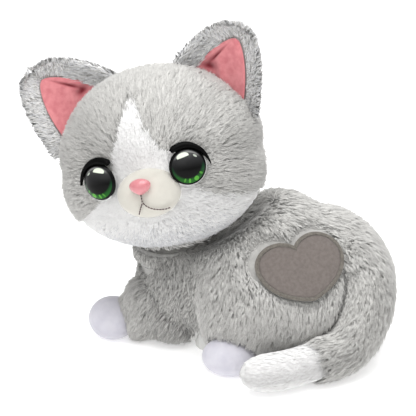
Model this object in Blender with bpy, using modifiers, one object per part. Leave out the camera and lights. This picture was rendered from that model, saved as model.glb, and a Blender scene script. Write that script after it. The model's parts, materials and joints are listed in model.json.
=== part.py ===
"""Interactive plush kitten that lies on its belly with its head turned to its left.

Frame: +Z up, the floor at z = 0, the chest towards -Y, the tail towards +Y and the kitten's
own left towards +X. The origin is on the flat bottom of the hard belly housing.
Every length below is in millimetres and is scaled to metres where meshes and places are made.
"""
import math

import bmesh
import bpy
from mathutils import Matrix, Vector

MM = 0.001
GAP = 0.3            # clearance between neighbouring pieces
SKIN = 3.5           # thickness of backed plush fabric
WALL = 2.0           # wall of a moulded housing

# Head: its own frame has the face towards -Y and the kitten's left towards +X
HEAD_CENTRE = (16, -67, 135)
HEAD_YAW = 86
HEAD_PITCH = -12
HEAD_ROLL = -12
HEAD_LUMPS = (((0, 3, 6), (64.5, 54, 52)), ((0, 0, -15), (70, 52, 48.5)))
SKULL_DEPTH = 14.5   # from the plush surface in to the skull
EYE_RADIUS = 12.4
EYE_X = 29
EYE_Y = -44.6
EYE_Z = -6.8
EYE_TURN = 19        # outward turn of each eye
EAR_SIZE = (32, 50)  # half width and height
MUZZLE = ((0, -46, -19.5), (22, 14, 17))
NOSE = ((0, -60.5, -14), (7, 4.5, 5.5))

# Torso: overlapping lumps, cut flat where they rest on the floor
TORSO_LUMPS = (
    ((0, 2, 38), (58, 64, 68)),
    ((0, 33, 37), (58, 58, 58)),
    ((36, 6, 34), (31, 48, 42)),
    ((-36, 6, 34), (31, 48, 42)),
    ((0, -46, 36), (42, 44, 50)),
)
TAIL_PATH = ((87, 4, 15), (78, 23, 15), (64, 42, 16), (51, 58, 20), (41, 67, 35),
             (30, 69, 55), (14, 56, 70))
TAIL_RADIUS = 15
TAIL_SWELL = 4.5     # how much thicker it is at its root
TAIL_TIP_SHARE = 0.33

# Heart button on the left flank
HEART_CENTRE = (46.3, 29.4, 67.7)
HEART_NORMAL = (0.79, 0.37, 0.49)
HEART_TILT = 10
HEART_HALF_WIDTH = 26

# Neck drive
NECK = (2, -62)
NECK_TOP = 86        # flat underside of the skull
GEAR_MODULE = 0.8
NECK_TEETH = 30
IDLER_LARGE_TEETH = 24
SMALL_TEETH = 10
CASE_FLOOR = 46
CASE_TOP = 58

# Belly housing
TRAY_X = 33
TRAY_FRONT = -44
TRAY_BACK = 60
TRAY_TOP = 28
TRAY_CORNER = 14
BAY_WALL = 3         # middle of the wall in front of the cells
CELL_RADIUS = 7.25
CELL_LENGTH = 50.5
CELL_PITCH = 15
CELL_MIDDLE = 31.5
SPEAKER = (10, -21)
PURR_X = -20
SWITCH = (24, -1)
SCREWS = ((-27, -34.5), (27, -35))

PLUSH_GREY = (0.47, 0.48, 0.49)
PLUSH_WHITE = (0.86, 0.86, 0.88)
PLASTIC = (0.80, 0.80, 0.78)
STEEL = (0.62, 0.62, 0.64)


# ---------------------------------------------------------------- scene and helpers
for old in list(bpy.data.objects):
    bpy.data.objects.remove(old, do_unlink=True)

PARTS = bpy.data.collections.new("plush_kitten")
TOOLS = bpy.data.collections.new("cutters_and_guides")
for group in (PARTS, TOOLS):
    bpy.context.scene.collection.children.link(group)


def mm(values):
    return Vector(values) * MM


def add(name, mesh, parent=None, at=(0, 0, 0)):
    """Put a mesh in the guides; finish() moves it to the parts."""
    obj = bpy.data.objects.new(name, mesh)
    TOOLS.objects.link(obj)
    obj.hide_render = True
    obj.display_type = 'WIRE'
    obj.parent = parent
    obj.location = mm(at)
    return obj


def finish(obj, colour, roughness=0.8, metallic=0.0):
    """Make a guide a real piece, with its own material."""
    TOOLS.objects.unlink(obj)
    PARTS.objects.link(obj)
    obj.hide_render = False
    obj.display_type = 'TEXTURED'
    material = bpy.data.materials.new(obj.name)
    material.use_nodes = True
    shader = material.node_tree.nodes["Principled BSDF"]
    shader.inputs["Base Color"].default_value = (*colour, 1)
    shader.inputs["Roughness"].default_value = roughness
    shader.inputs["Metallic"].default_value = metallic
    obj.data.materials.clear()
    obj.data.materials.append(material)
    return obj


def pivot(name, at, rotation=None, parent=None):
    """An empty that carries pieces; its place is a joint's axis or a piece's own frame."""
    empty = bpy.data.objects.new(name, None)
    TOOLS.objects.link(empty)
    empty.parent = parent
    empty.matrix_local = Matrix.Translation(mm(at)) @ (rotation or Matrix.Identity(4))
    return empty


def turn(degrees, axis):
    return Matrix.Rotation(math.radians(degrees), 4, axis)


def from_bmesh(name, shape, parent, at):
    mesh = bpy.data.meshes.new(name)
    shape.to_mesh(mesh)
    shape.free()
    mesh.shade_smooth()
    mesh.set_sharp_from_angle(angle=math.radians(40))
    return add(name, mesh, parent, at)


def ball(name, centre, radii, parent=None, sides=24, rings=12):
    shape = bmesh.new()
    bmesh.ops.create_uvsphere(shape, u_segments=sides, v_segments=rings, radius=MM)
    bmesh.ops.scale(shape, vec=radii, verts=shape.verts)
    return from_bmesh(name, shape, parent, centre)


def block(name, low, high, parent=None):
    centre = [(a + b) / 2 for a, b in zip(low, high)]
    shape = bmesh.new()
    bmesh.ops.create_cube(shape, size=MM)
    bmesh.ops.scale(shape, vec=[b - a for a, b in zip(low, high)], verts=shape.verts)
    return from_bmesh(name, shape, parent, centre)


def rod(name, centre, radius, length, axis='Z', parent=None, sides=16):
    shape = bmesh.new()
    bmesh.ops.create_cone(shape, cap_ends=True, segments=sides, radius1=radius * MM,
                          radius2=radius * MM, depth=length * MM)
    if axis == 'X':
        bmesh.ops.rotate(shape, matrix=turn(90, 'Y'), verts=shape.verts)
    if axis == 'Y':
        bmesh.ops.rotate(shape, matrix=turn(90, 'X'), verts=shape.verts)
    return from_bmesh(name, shape, parent, centre)


def turned(name, profile, at, parent=None, steps=20):
    """A profile of (radius, height) points, outer side first from the top, spun about Z."""
    mesh = bpy.data.meshes.new(name)
    points = [(r * MM, 0, z * MM) for r, z in profile]
    edges = [(i, i + 1) for i in range(len(points) - 1)]
    if profile[0][0] > 0:
        edges.append((len(points) - 1, 0))
    mesh.from_pydata(points, edges, [])
    obj = add(name, mesh, parent, at)
    screw = obj.modifiers.new("spin", 'SCREW')
    screw.steps = steps
    screw.render_steps = steps
    screw.use_merge_vertices = True
    screw.merge_threshold = 0.00001
    return obj


def curve_to_mesh(name, curve, parent, at):
    """Evaluate a curve once, weld its caps and keep it as a mesh."""
    holder = bpy.data.objects.new(name + "_curve", curve)
    TOOLS.objects.link(holder)
    bpy.context.view_layer.update()
    evaluated = holder.evaluated_get(bpy.context.evaluated_depsgraph_get())
    mesh = bpy.data.meshes.new_from_object(evaluated)
    bpy.data.objects.remove(holder, do_unlink=True)
    shape = bmesh.new()
    shape.from_mesh(mesh)
    bmesh.ops.remove_doubles(shape, verts=shape.verts, dist=0.000001)
    bmesh.ops.recalc_face_normals(shape, faces=shape.faces)
    shape.to_mesh(mesh)
    shape.free()
    mesh.name = name
    return add(name, mesh, parent, at)


def plate(name, outline, low, high, at=(0, 0), parent=None):
    """A flat outline of (x, y) points with its faces at heights low and high."""
    curve = bpy.data.curves.new(name, 'CURVE')
    curve.dimensions = '2D'
    curve.fill_mode = 'BOTH'
    curve.extrude = (high - low) / 2 * MM
    spline = curve.splines.new('POLY')
    spline.points.add(len(outline) - 1)
    for point, (x, y) in zip(spline.points, outline):
        point.co = (x * MM, y * MM, 0, 1)
    spline.use_cyclic_u = True
    return curve_to_mesh(name, curve, parent, (*at, (low + high) / 2))


def tube(name, path, radii, parent=None, resolution=3):
    curve = bpy.data.curves.new(name, 'CURVE')
    curve.dimensions = '3D'
    curve.bevel_depth = MM
    curve.bevel_resolution = resolution
    curve.use_fill_caps = True
    spline = curve.splines.new('POLY')
    spline.points.add(len(path) - 1)
    for point, place, radius in zip(spline.points, path, radii):
        point.co = (*mm(place), 1)
        point.radius = radius
    return curve_to_mesh(name, curve, parent, (0, 0, 0))


def boolean(obj, operation, *others):
    for other in others:
        modifier = obj.modifiers.new(other.name, 'BOOLEAN')
        modifier.operation = operation
        modifier.object = other
    return obj


def cut(obj, *others):
    return boolean(obj, 'DIFFERENCE', *others)


def join(obj, *others):
    return boolean(obj, 'UNION', *others)


def lumps_form(name, lumps, grow, parent=None, sides=20, rings=10):
    """The union of ellipsoids, each grown (or, below zero, shrunk) by the same amount."""
    balls = [ball(f"{name}_{i}", centre, [r + grow for r in radii], parent, sides, rings)
             for i, (centre, radii) in enumerate(lumps)]
    balls[0].name = name
    return join(balls[0], *balls[1:])


def rounded_box_outline(half_x, front, back, corner, steps=4):
    points = []
    centres = ((half_x - corner, back - corner), (corner - half_x, back - corner),
               (corner - half_x, front + corner), (half_x - corner, front + corner))
    for quarter, (x, y) in enumerate(centres):
        for i in range(steps + 1):
            angle = math.radians(90 * (quarter + i / steps))
            points.append((x + corner * math.cos(angle), y + corner * math.sin(angle)))
    return points


def gear_outline(teeth, phase=0.0):
    """Plain tapered teeth, thin enough at the pitch line to leave backlash."""
    pitch_radius = teeth * GEAR_MODULE / 2
    radii = (pitch_radius - 1.1 * GEAR_MODULE, pitch_radius + 0.7 * GEAR_MODULE)
    shape = ((-0.33, radii[0]), (-0.13, radii[1]), (0.13, radii[1]), (0.33, radii[0]))
    points = []
    for tooth in range(teeth):
        for share, radius in shape:
            angle = math.tau * (tooth + share + phase) / teeth
            points.append((radius * math.cos(angle), radius * math.sin(angle)))
    return points


def heart_outline(scale, steps=32):
    """A fat heart of half width about 1, with its blunt point towards -Y."""
    points = []
    for i in range(steps):
        t = math.tau * i / steps
        x = math.sin(t) * abs(math.sin(t)) ** 1.57
        y = (13 * math.cos(t) - 2.6 * math.cos(2 * t) - 2.55 * math.cos(3 * t)
             - 0.22 * math.cos(4 * t)) / 16 + 0.156
        points.append((-x * scale, y * scale * 0.95))
    return points


# ---------------------------------------------------------------- frames
head_pivot = pivot("head_pivot", (*NECK, CASE_TOP))
head_turn = turn(HEAD_YAW, 'Z') @ turn(HEAD_PITCH, 'X') @ turn(HEAD_ROLL, 'Y')
head_offset = Vector(HEAD_CENTRE) - Vector((*NECK, CASE_TOP))
head_frame = pivot("head_frame", head_offset, head_turn, head_pivot)

heart_out = Vector(HEART_NORMAL).normalized()
heart_up = (Vector((0, 0, 1)) - heart_out * heart_out.z).normalized()
heart_side = heart_up.cross(heart_out)
heart_axes = Matrix((heart_side, heart_up, heart_out)).transposed().to_4x4()
heart_pivot = pivot("heart_pivot", HEART_CENTRE, heart_axes @ turn(HEART_TILT, 'Z'))

# ---------------------------------------------------------------- shared guides
floor_cut = block("floor_cut", (-200, -200, -90), (200, 200, 0))
torso_clear = lumps_form("torso_clear", TORSO_LUMPS, GAP)
head_clear = lumps_form("head_clear", HEAD_LUMPS, GAP, head_frame)
tray_outline = rounded_box_outline(TRAY_X, TRAY_FRONT, TRAY_BACK, TRAY_CORNER)
case_outline = [(NECK[0] + 15 * math.cos(math.radians(a)), NECK[1] + 15 * math.sin(math.radians(a)))
                for a in range(180, 361, 20)] + [(NECK[0] + 15, -22), (NECK[0] - 15, -22)]


def head_sweep(name, grow):
    """The space that the head and its fur take as it sways about the neck."""
    return ball(name, (*NECK, 125), (76 + grow, 76 + grow, 57 + grow), sides=28, rings=14)


def scaled(outline, grow, middle):
    """Push an outline's points outwards from a point inside it by a given distance."""
    points = []
    for x, y in outline:
        reach = math.hypot(x - middle[0], y - middle[1])
        factor = (reach + grow) / reach
        points.append((middle[0] + (x - middle[0]) * factor, middle[1] + (y - middle[1]) * factor))
    return points


# ---------------------------------------------------------------- torso
def make_torso():
    tray_hole = plate("tray_hole", scaled(tray_outline, 2 * GAP, (0, 8)), -1, TRAY_TOP + 3)
    neck_hole = rod("neck_hole", (*NECK, 74), 26, 30, sides=24)
    heart_hole = plate("heart_hole", heart_outline(HEART_HALF_WIDTH + 3.6), -16, 14,
                       parent=heart_pivot)
    inside = lumps_form("torso_inside", TORSO_LUMPS, -SKIN)
    cut(inside, block("belly_fabric", (-200, -200, -90), (200, 200, SKIN)),
        head_sweep("neck_fabric", SKIN))
    skin = lumps_form("torso_skin", TORSO_LUMPS, 0)
    cut(skin, floor_cut, head_sweep("head_room", 0), inside, tray_hole, neck_hole, heart_hole)
    finish(skin, PLUSH_GREY, 0.95)

    stuffing = lumps_form("torso_stuffing", TORSO_LUMPS, -SKIN - 1.6, sides=16, rings=8)
    case_room = plate("case_room", scaled(case_outline, 1, (NECK[0], -50)), 20, CASE_TOP + 4)
    neck_room = rod("neck_room", (*NECK, 74), 26.6, 36)
    cup_room = rod("cup_room", (0, 0, -9), 18.6, 35, parent=heart_pivot)
    screw_rooms = [rod(f"screw_room_{i}", (x, y, 31), 3.4, 6) for i, (x, y) in enumerate(SCREWS)]
    heart_room = plate("heart_room", heart_outline(HEART_HALF_WIDTH + 5), -15, 20,
                       parent=heart_pivot)
    cut(stuffing, block("belly_room", (-200, -200, -90), (200, 200, SKIN + 1)),
        head_sweep("neck_fabric_room", SKIN + 1), tray_hole, case_room, neck_room, cup_room,
        heart_room, *screw_rooms)
    finish(stuffing, (0.9, 0.9, 0.9), 1.0)

    sleeve = turned("neck_sleeve", ((24.8, 84), (24.8, 61), (23.4, 61), (23.4, 84)), (*NECK, 0))
    finish(sleeve, (0.42, 0.43, 0.44), 0.95)


def make_limbs(tail_clear):
    """Mirrored legs and feet; the left foot also gives way to the tail that lies against it."""
    for side, name in ((1, "left"), (-1, "right")):
        paw_y = -101 if side > 0 else -74
        paw = ball(f"{name}_forepaw", (17 * side, paw_y, 14), (16, 17, 15.5), sides=16, rings=10)
        cut(paw, floor_cut, torso_clear)
        finish(paw, PLUSH_WHITE, 0.85)
        paw_clear = ball(f"{name}_paw_clear", (17 * side, paw_y, 14), (16.4, 17.4, 15.9),
                         sides=16, rings=10)
        lumps = (((19 * side, paw_y + 33, 20), (18.5, 37, 19.5)),
                 ((21 * side, -56, 21), (22, 24, 21)))
        leg = lumps_form(f"{name}_foreleg", lumps, 0, sides=16)
        cut(leg, floor_cut, torso_clear, paw_clear)
        finish(leg, PLUSH_GREY, 0.95)
        foot = ball(f"{name}_hind_foot", (60 * side, -16, 12), (13.5, 19, 13.5), sides=16, rings=10)
        cut(foot, floor_cut, torso_clear, tail_clear)
        finish(foot, PLUSH_WHITE, 0.85)


def tail_points(steps=26):
    """A smooth walk through the tail's own path, with a rounded end."""
    path = [Vector(p) for p in TAIL_PATH]
    path = [path[0] * 2 - path[1]] + path + [path[-1] * 2 - path[-2]]
    points = []
    spans = len(path) - 3
    for i in range(steps + 1):
        span = min(int(i * spans / steps), spans - 1)
        t = i * spans / steps - span
        a, b, c, d = path[span:span + 4]
        points.append(0.5 * (2 * b + (c - a) * t + (2 * a - 5 * b + 4 * c - d) * t ** 2
                             + (3 * b - a - 3 * c + d) * t ** 3))
    return points


def tail_tube(name, points, grow, rounded):
    last = len(points) - 1
    radii = [TAIL_RADIUS + TAIL_SWELL * min(1, max(0, i / last - 0.3) / 0.4) + grow
             for i in range(last + 1)]
    if rounded:
        for i, share in enumerate((0.35, 0.74, 0.94)):
            radii[i] = (TAIL_RADIUS + grow) * share
    return tube(name, points, radii)


def make_tail():
    points = tail_points()
    split = round(len(points) * TAIL_TIP_SHARE)
    along = (points[split + 1] - points[split - 1]).normalized()
    seam = pivot("tail_seam", points[split], along.to_track_quat('Z', 'Y').to_matrix().to_4x4())
    tip_side = block("tail_tip_side", (-90, -90, -150), (90, 90, GAP / 2), seam)
    root_side = block("tail_root_side", (-90, -90, -GAP / 2), (90, 90, 150), seam)
    for name, colour, other_side in (("tail_tip", PLUSH_WHITE, root_side),
                                     ("tail", PLUSH_GREY, tip_side)):
        piece = tail_tube(name, points, 0, True)
        cut(piece, floor_cut, torso_clear, other_side)
        finish(piece, colour, 0.95)
    return tail_tube("tail_clear", points, GAP + 0.3, True)


# ---------------------------------------------------------------- head
def eye_frame(side, name):
    matrix = turn(EYE_TURN * side, 'Z') @ turn(90, 'X')
    return pivot(name, (EYE_X * side, EYE_Y, EYE_Z), matrix, head_frame)


def make_eyes():
    """Each eye is a printed disc on a peg, a clear dome over it, and a stitched upper lid."""
    seats = []
    holes = []
    for side, name in ((1, "left"), (-1, "right")):
        frame = eye_frame(side, f"{name}_eye_frame")
        disc = rod(f"{name}_eye_disc", (0, 0, 0.9), EYE_RADIUS, 1.8, parent=frame, sides=24)
        join(disc, rod(f"{name}_eye_peg", (0, 0, -9), 2, 20, parent=frame, sides=12))
        finish(disc, (0.02, 0.06, 0.03), 0.3)
        bulge = 5.2
        dome = [(EYE_RADIUS * math.cos(math.radians(a)), 2.2 + bulge * math.sin(math.radians(a)))
                for a in (90, 72, 54, 36, 18, 0)]
        profile = [(0, dome[0][1])] + dome[1:] + [(0, 2.2)]
        lens = turned(f"{name}_eye_lens", profile, (0, 0, 0), frame, steps=24)
        finish(lens, (0.02, 0.05, 0.03), 0.05)
        arc = [(14.9, a) for a in range(15, 166, 15)] + [(13.4, a) for a in range(165, 14, -15)]
        strip = [(r * math.cos(math.radians(a)), r * math.sin(math.radians(a))) for r, a in arc]
        finish(plate(f"{name}_lash", strip, 0.5, 1.7, parent=frame), (0.01, 0.01, 0.01), 0.8)
        seats.append(rod(f"{name}_eye_seat", (0, 0, 7.7), EYE_RADIUS + 0.4, 16, parent=frame,
                         sides=32))
        holes.append(rod(f"{name}_peg_hole", (0, 0, -10), 2.4, 30, parent=frame, sides=12))
    return seats, holes


def make_head(seats, holes):
    neck_opening = rod("neck_opening", (*NECK, 84), 27, 42, sides=24)
    skin = lumps_form("head_skin", HEAD_LUMPS, 0, head_frame)
    cut(skin, lumps_form("head_inside", HEAD_LUMPS, -SKIN, head_frame), neck_opening,
        *seats, *holes)
    finish(skin, PLUSH_GREY, 0.95)

    stuffing = lumps_form("head_stuffing", HEAD_LUMPS, -SKIN - 1.6, head_frame, 16, 8)
    cut(stuffing, lumps_form("skull_room", HEAD_LUMPS, 2.2 - SKULL_DEPTH, head_frame, 16, 8),
        neck_opening, *holes)
    finish(stuffing, (0.9, 0.9, 0.9), 1.0)

    boss_length = 16
    hollow = lumps_form("skull_hollow", HEAD_LUMPS, -SKULL_DEPTH - WALL, head_frame, 14, 8)
    below = block("below_skull", (-60, -120, 40), (60, 0, NECK_TOP))
    wire_hole = rod("wire_hole", (*NECK, 96), 3.5, 30, sides=12)
    screw_holes = [rod(f"skull_screw_hole_{i}", (NECK[0], NECK[1] + y, 90), 1.5, 12, sides=8)
                   for i, y in enumerate((13, -13))]
    for name, low, high in (("skull_front", -90, 2 - GAP / 2), ("skull_back", 2 + GAP / 2, 90)):
        half = lumps_form(name, HEAD_LUMPS, -SKULL_DEPTH, head_frame, 14, 8)
        boss = rod(name + "_boss", (*NECK, NECK_TOP + boss_length / 2), 20, boss_length, sides=20)
        keep = block(name + "_side", (-90, low, -90), (90, high, 90), head_frame)
        join(half, boss)
        cut(half, hollow, below, wire_hole, *screw_holes, *holes)
        boolean(half, 'INTERSECT', keep)
        finish(half, PLASTIC, 0.5)


def ear_sheet(name, side, share, lift, thickness, frame):
    """A cupped, round-tipped triangle: a grid bent by formula, made solid by Solidify."""
    half_width, height = EAR_SIZE
    shape = bmesh.new()
    bmesh.ops.create_grid(shape, x_segments=8, y_segments=8, size=1)
    for vert in shape.verts:
        u, v = vert.co.x, (vert.co.y + 1) / 2
        v = v * share + (1 - share) * 0.25
        width = half_width * share * math.sqrt(max(1 - v ** 3, 0.0)) * (1 - 0.24 * v) + 1.5
        cup = 13 * (1 - u * u) * (1 - 0.55 * v) * share
        vert.co = mm((u * width * side, cup - lift - 6 * v, v * height * 1.02 - 8))
    ear = from_bmesh(name, shape, frame, (0, 0, 0))
    solid = ear.modifiers.new("thickness", 'SOLIDIFY')
    solid.thickness = thickness * MM
    solid.offset = 0
    return ear


def make_ears():
    """The right ear leans further out than the left one."""
    for side, name, x, z, lean in ((1, "left", 42, 36, 29), (-1, "right", 46, 33, 38)):
        matrix = turn(lean * side, 'Y') @ turn(-14 * side, 'Z')
        frame = pivot(f"{name}_ear_frame", (x * side, 2, z), matrix, head_frame)
        ear = ear_sheet(f"{name}_ear", side, 1.0, 0, 4, frame)
        cut(ear, head_clear)
        finish(ear, PLUSH_GREY, 0.95)
        lining = ear_sheet(f"{name}_ear_lining", side, 0.8, 3.6, 1.4, frame)
        cut(lining, head_clear)
        finish(lining, (0.72, 0.27, 0.30), 0.9)


def on_muzzle(x, z, lift):
    """The point of the muzzle's front at x and z, lifted off its surface."""
    (cx, cy, cz), (rx, ry, rz) = MUZZLE
    ratio = ((x - cx) / (rx + lift)) ** 2 + ((z - cz) / (rz + lift)) ** 2
    return Vector((x, cy - (ry + lift) * math.sqrt(1 - ratio), z))


def make_face():
    centre, radii = MUZZLE
    muzzle = ball("muzzle", centre, radii, head_frame, 20, 12)
    cut(muzzle, head_clear)
    finish(muzzle, PLUSH_WHITE, 0.9)
    nose = ball("nose", *NOSE, head_frame, 16, 10)
    cut(nose, ball("nose_seat", centre, [r + GAP for r in radii], head_frame, 20, 12))
    finish(nose, (0.83, 0.35, 0.42), 0.25)
    thread = 0.7
    lift = thread + 0.35
    split = (0, -26)
    down = [(0, -20), (0, -23), split]
    right = [(4 + 2.6 * i, -27.5 - 0.9 * i + 0.12 * i * i) for i in range(5)]
    left = [(-2.5, -28.5), (-4.8, -31)]
    main = [on_muzzle(x, z, lift) for x, z in down + right]
    branch = [on_muzzle(x, z, lift) for x, z in [split] + left]
    stitch = tube("mouth_stitch", main, [thread] * len(main), head_frame, 1)
    join(stitch, tube("mouth_branch", branch, [thread] * len(branch), head_frame, 1))
    finish(stitch, (0.05, 0.04, 0.04), 0.8)


# ---------------------------------------------------------------- neck drive
def make_neck_drive():
    flange = ((20, NECK_TOP - GAP), (20, 82), (7, 82), (7, 50.6), (4, 50.6), (4, NECK_TOP - GAP))
    shaft = turned("neck_shaft", [(r, z - CASE_TOP) for r, z in flange], (0, 0, 0), head_pivot)
    for i, y in enumerate((13, -13)):
        hole = rod(f"flange_hole_{i}", (0, y, 84 - CASE_TOP), 1.5, 8, parent=head_pivot, sides=8)
        cut(shaft, hole)
        head = rod(f"neck_screw_{i + 1}", (0, y, 80.9 - CASE_TOP), 2.6, 1.6, parent=head_pivot,
                   sides=12)
        join(head, rod(f"neck_shank_{i}", (0, y, 86 - CASE_TOP), 1.15, 10, parent=head_pivot,
                       sides=8))
        finish(head, STEEL, 0.35, 1.0)
    finish(shaft, PLASTIC, 0.45)

    gear = plate("neck_gear", gear_outline(NECK_TEETH), 51 - CASE_TOP, 55 - CASE_TOP,
                 parent=head_pivot)
    cut(gear, rod("neck_gear_bore", (0, 0, 53 - CASE_TOP), 7.3, 8, parent=head_pivot, sides=20))
    finish(gear, (0.88, 0.87, 0.82), 0.5)

    idler_y = NECK[1] + (NECK_TEETH + SMALL_TEETH) * GEAR_MODULE / 2
    motor_y = idler_y + (IDLER_LARGE_TEETH + SMALL_TEETH) * GEAR_MODULE / 2
    idler_pivot = pivot("idler_pivot", (NECK[0], idler_y, CASE_FLOOR))
    small = plate("reduction_gear", gear_outline(SMALL_TEETH, 0.5), 3.5, 10,
                  parent=idler_pivot)
    join(small, plate("idler_large", gear_outline(IDLER_LARGE_TEETH), 1, 4, parent=idler_pivot))
    cut(small, rod("idler_bore", (0, 0, 5), 1.5, 20, parent=idler_pivot, sides=12))
    finish(small, (0.88, 0.87, 0.82), 0.5)
    pin = rod("idler_pin", (NECK[0], idler_y, 51), 1.15, 12.6, sides=12)
    finish(pin, STEEL, 0.3, 1.0)

    motor_pivot = pivot("motor_pivot", (NECK[0], motor_y, CASE_FLOOR))
    pinion = plate("motor_pinion", gear_outline(SMALL_TEETH), 1, 4.6,
                   parent=motor_pivot)
    cut(pinion, rod("pinion_bore", (0, 0, 3), 1.3, 8, parent=motor_pivot, sides=12))
    finish(pinion, (0.78, 0.65, 0.35), 0.4, 1.0)
    motor = rod("drive_motor", (NECK[0], motor_y, 31.8), 7.7, 23.6, sides=24)
    join(motor, rod("drive_motor_shaft", (NECK[0], motor_y, 45), 1, 10.8, sides=12))
    finish(motor, STEEL, 0.35, 1.0)

    case = plate("gearbox_case", case_outline, 30.6, CASE_TOP)
    middle = (NECK[0], -50)
    inner = scaled(case_outline, -WALL, middle)
    cut(case, plate("case_well", inner, CASE_FLOOR, CASE_TOP + 5),
        plate("case_skirt", inner, 25, CASE_FLOOR - WALL),
        rod("case_motor_hole", (NECK[0], motor_y, CASE_FLOOR), 1.6, 8, sides=12),
        rod("case_pin_hole", (NECK[0], idler_y, CASE_FLOOR), 1.5, 8, sides=12))
    join(case, rod("case_thrust_boss", (*NECK, 47.9), 4.2, 4.4, sides=16))
    finish(case, PLASTIC, 0.5)
    cover = plate("gearbox_cover", case_outline, CASE_TOP + GAP, CASE_TOP + GAP + WALL)
    join(cover, rod("cover_bearing", (*NECK, 64.5), 10, 11, sides=20))
    cut(cover, rod("cover_bore", (*NECK, 64), 7.35, 24, sides=20))
    finish(cover, PLASTIC, 0.5)
    return rod("motor_room", (NECK[0], motor_y, 30), 8.4, 30, sides=24)


# ---------------------------------------------------------------- belly housing
def make_housing(motor_room):
    tray = plate("housing_tray", tray_outline, 0, TRAY_TOP)
    inner = rounded_box_outline(TRAY_X - WALL, TRAY_FRONT + WALL, TRAY_BACK - WALL,
                                TRAY_CORNER - WALL)
    cut(tray, plate("tray_well", inner, WALL, TRAY_TOP + 5))
    join(tray, block("bay_wall", (1 - TRAY_X, BAY_WALL - 0.8, 1), (TRAY_X - 1, BAY_WALL + 0.8, 19)))
    for i, (x, y) in enumerate(SCREWS):
        join(tray, rod(f"screw_boss_{i}", (x, y, 14.4), 3, 27, sides=12))
        cut(tray, rod(f"boss_bore_{i}", (x, y, 22), 1.4, 20, sides=8))
    for i, (x, y) in enumerate(((-11, -38), (12, 0.6))):
        join(tray, rod(f"board_post_{i}", (x, y, 10.8), 1.8, 19.6, sides=8))
    door_low = (-25, 5, -1)
    door_high = (25, 57.2, WALL + 1)
    cut(tray, block("door_opening", door_low, door_high),
        block("door_tab_notch", (-5, 2.5, -1), (5, 6, 0.9)),
        block("switch_slot", (SWITCH[0] - 4.5, SWITCH[1] - 1.7, -1),
              (SWITCH[0] + 4.5, SWITCH[1] + 1.7, 4)))
    for i in range(5):
        reach = 14 - 4 * abs(i - 2) / 2
        y = SPEAKER[1] + (i - 2) * 5
        cut(tray, block(f"grille_slot_{i}", (SPEAKER[0] - reach, y - 1, -1),
                        (SPEAKER[0] + reach, y + 1, 4)))
    finish(tray, PLASTIC, 0.55)

    lid = plate("housing_lid", tray_outline, TRAY_TOP + GAP, 30.3)
    cut(lid, motor_room)
    for i, (x, y) in enumerate(SCREWS):
        cut(lid, rod(f"lid_hole_{i}", (x, y, 29), 1.4, 8, sides=8))
        screw = rod(f"lid_screw_{i + 1}", (x, y, 31.4), 2.6, 1.6, sides=12)
        join(screw, rod(f"lid_shank_{i}", (x, y, 26), 1.1, 10, sides=8))
        finish(screw, STEEL, 0.35, 1.0)
    finish(lid, PLASTIC, 0.55)

    board = block("main_board", (-22, -40, 21), (22, 54, 22.6))
    join(board, block("main_chip", (-6, -10, 22), (6, 4, 24.4)))
    cut(board, motor_room)
    finish(board, (0.03, 0.22, 0.09), 0.5)

    for i in range(3):
        x = (i - 1) * CELL_PITCH
        radius = CELL_RADIUS
        cell = rod(f"battery_cell_{i + 1}", (x, CELL_MIDDLE - 0.5, WALL + GAP + radius), radius,
                   CELL_LENGTH - 1, 'Y', sides=20)
        join(cell, rod(f"cell_button_{i}", (x, CELL_MIDDLE + 24.4, WALL + GAP + radius), 2.7, 1.8,
                       'Y', sides=12))
        finish(cell, (0.10, 0.11, 0.13), 0.35, 0.6)
    for name, y in (("battery_contact_front", 4.9), ("battery_contact_rear", 57.3)):
        finish(block(name, (-20, y - 0.2, 5), (20, y + 0.2, 16)), (0.7, 0.7, 0.68), 0.3, 1.0)

    x, y = SPEAKER
    profile = ((0, 10.6), (10, 10.6), (10, 6.6), (17, 6.6), (18, 4.2), (18, WALL + GAP),
               (0, WALL + GAP))
    speaker = turned("speaker", profile, (x, y, 0), steps=24)
    finish(speaker, (0.06, 0.06, 0.06), 0.5)

    motor = rod("purr_motor", (PURR_X, -22, 9), 5.5, 16, 'Y', sides=20)
    join(motor, rod("purr_motor_shaft", (PURR_X, -10.5, 9), 1, 9, 'Y', sides=12))
    finish(motor, STEEL, 0.35, 1.0)
    purr_pivot = pivot("purr_pivot", (PURR_X, -9, 9))
    weight = rod("purr_weight", (0, 0, 0), 5, 5, 'Y', purr_pivot, 20)
    cut(weight, rod("weight_bore", (0, 0, 0), 1.3, 9, 'Y', purr_pivot, 12),
        block("weight_flat", (-8, -5, 1.8), (8, 5, 9), purr_pivot))
    finish(weight, (0.55, 0.50, 0.42), 0.35, 1.0)

    x, y = SWITCH
    body = block("power_switch", (x - 6, y - 3, 4.4), (x + 6, y + 3, 9))
    cut(body, block("switch_groove", (x - 4.6, y - 1.2, 3), (x + 4.6, y + 1.2, 7)))
    finish(body, (0.05, 0.05, 0.05), 0.5)
    slider_pivot = pivot("slider_pivot", (x - 2, y, 0))
    slider = block("switch_slider", (-2.2, -1.3, 0.3), (2.2, 1.3, 4.1), slider_pivot)
    join(slider, block("slider_tongue", (-1.8, -0.8, 3), (1.8, 0.8, 6.5), slider_pivot))
    finish(slider, (0.08, 0.08, 0.08), 0.5)

    hinge_y = door_high[1] - 0.4
    door_pivot = pivot("door_pivot", (0, hinge_y, 0))
    door = block("battery_door", (-24.6, door_low[1] + 0.4 - hinge_y, 0), (24.6, 0, WALL),
                 door_pivot)
    tab_y = 2.9 - hinge_y
    join(door, block("door_tab", (-4.6, tab_y, 0), (4.6, tab_y + 5, 0.55), door_pivot))
    cut(door, block("finger_scoop", (-8, 8 - hinge_y, -1), (8, 12 - hinge_y, 0.7), door_pivot))
    finish(door, PLASTIC, 0.55)


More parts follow.
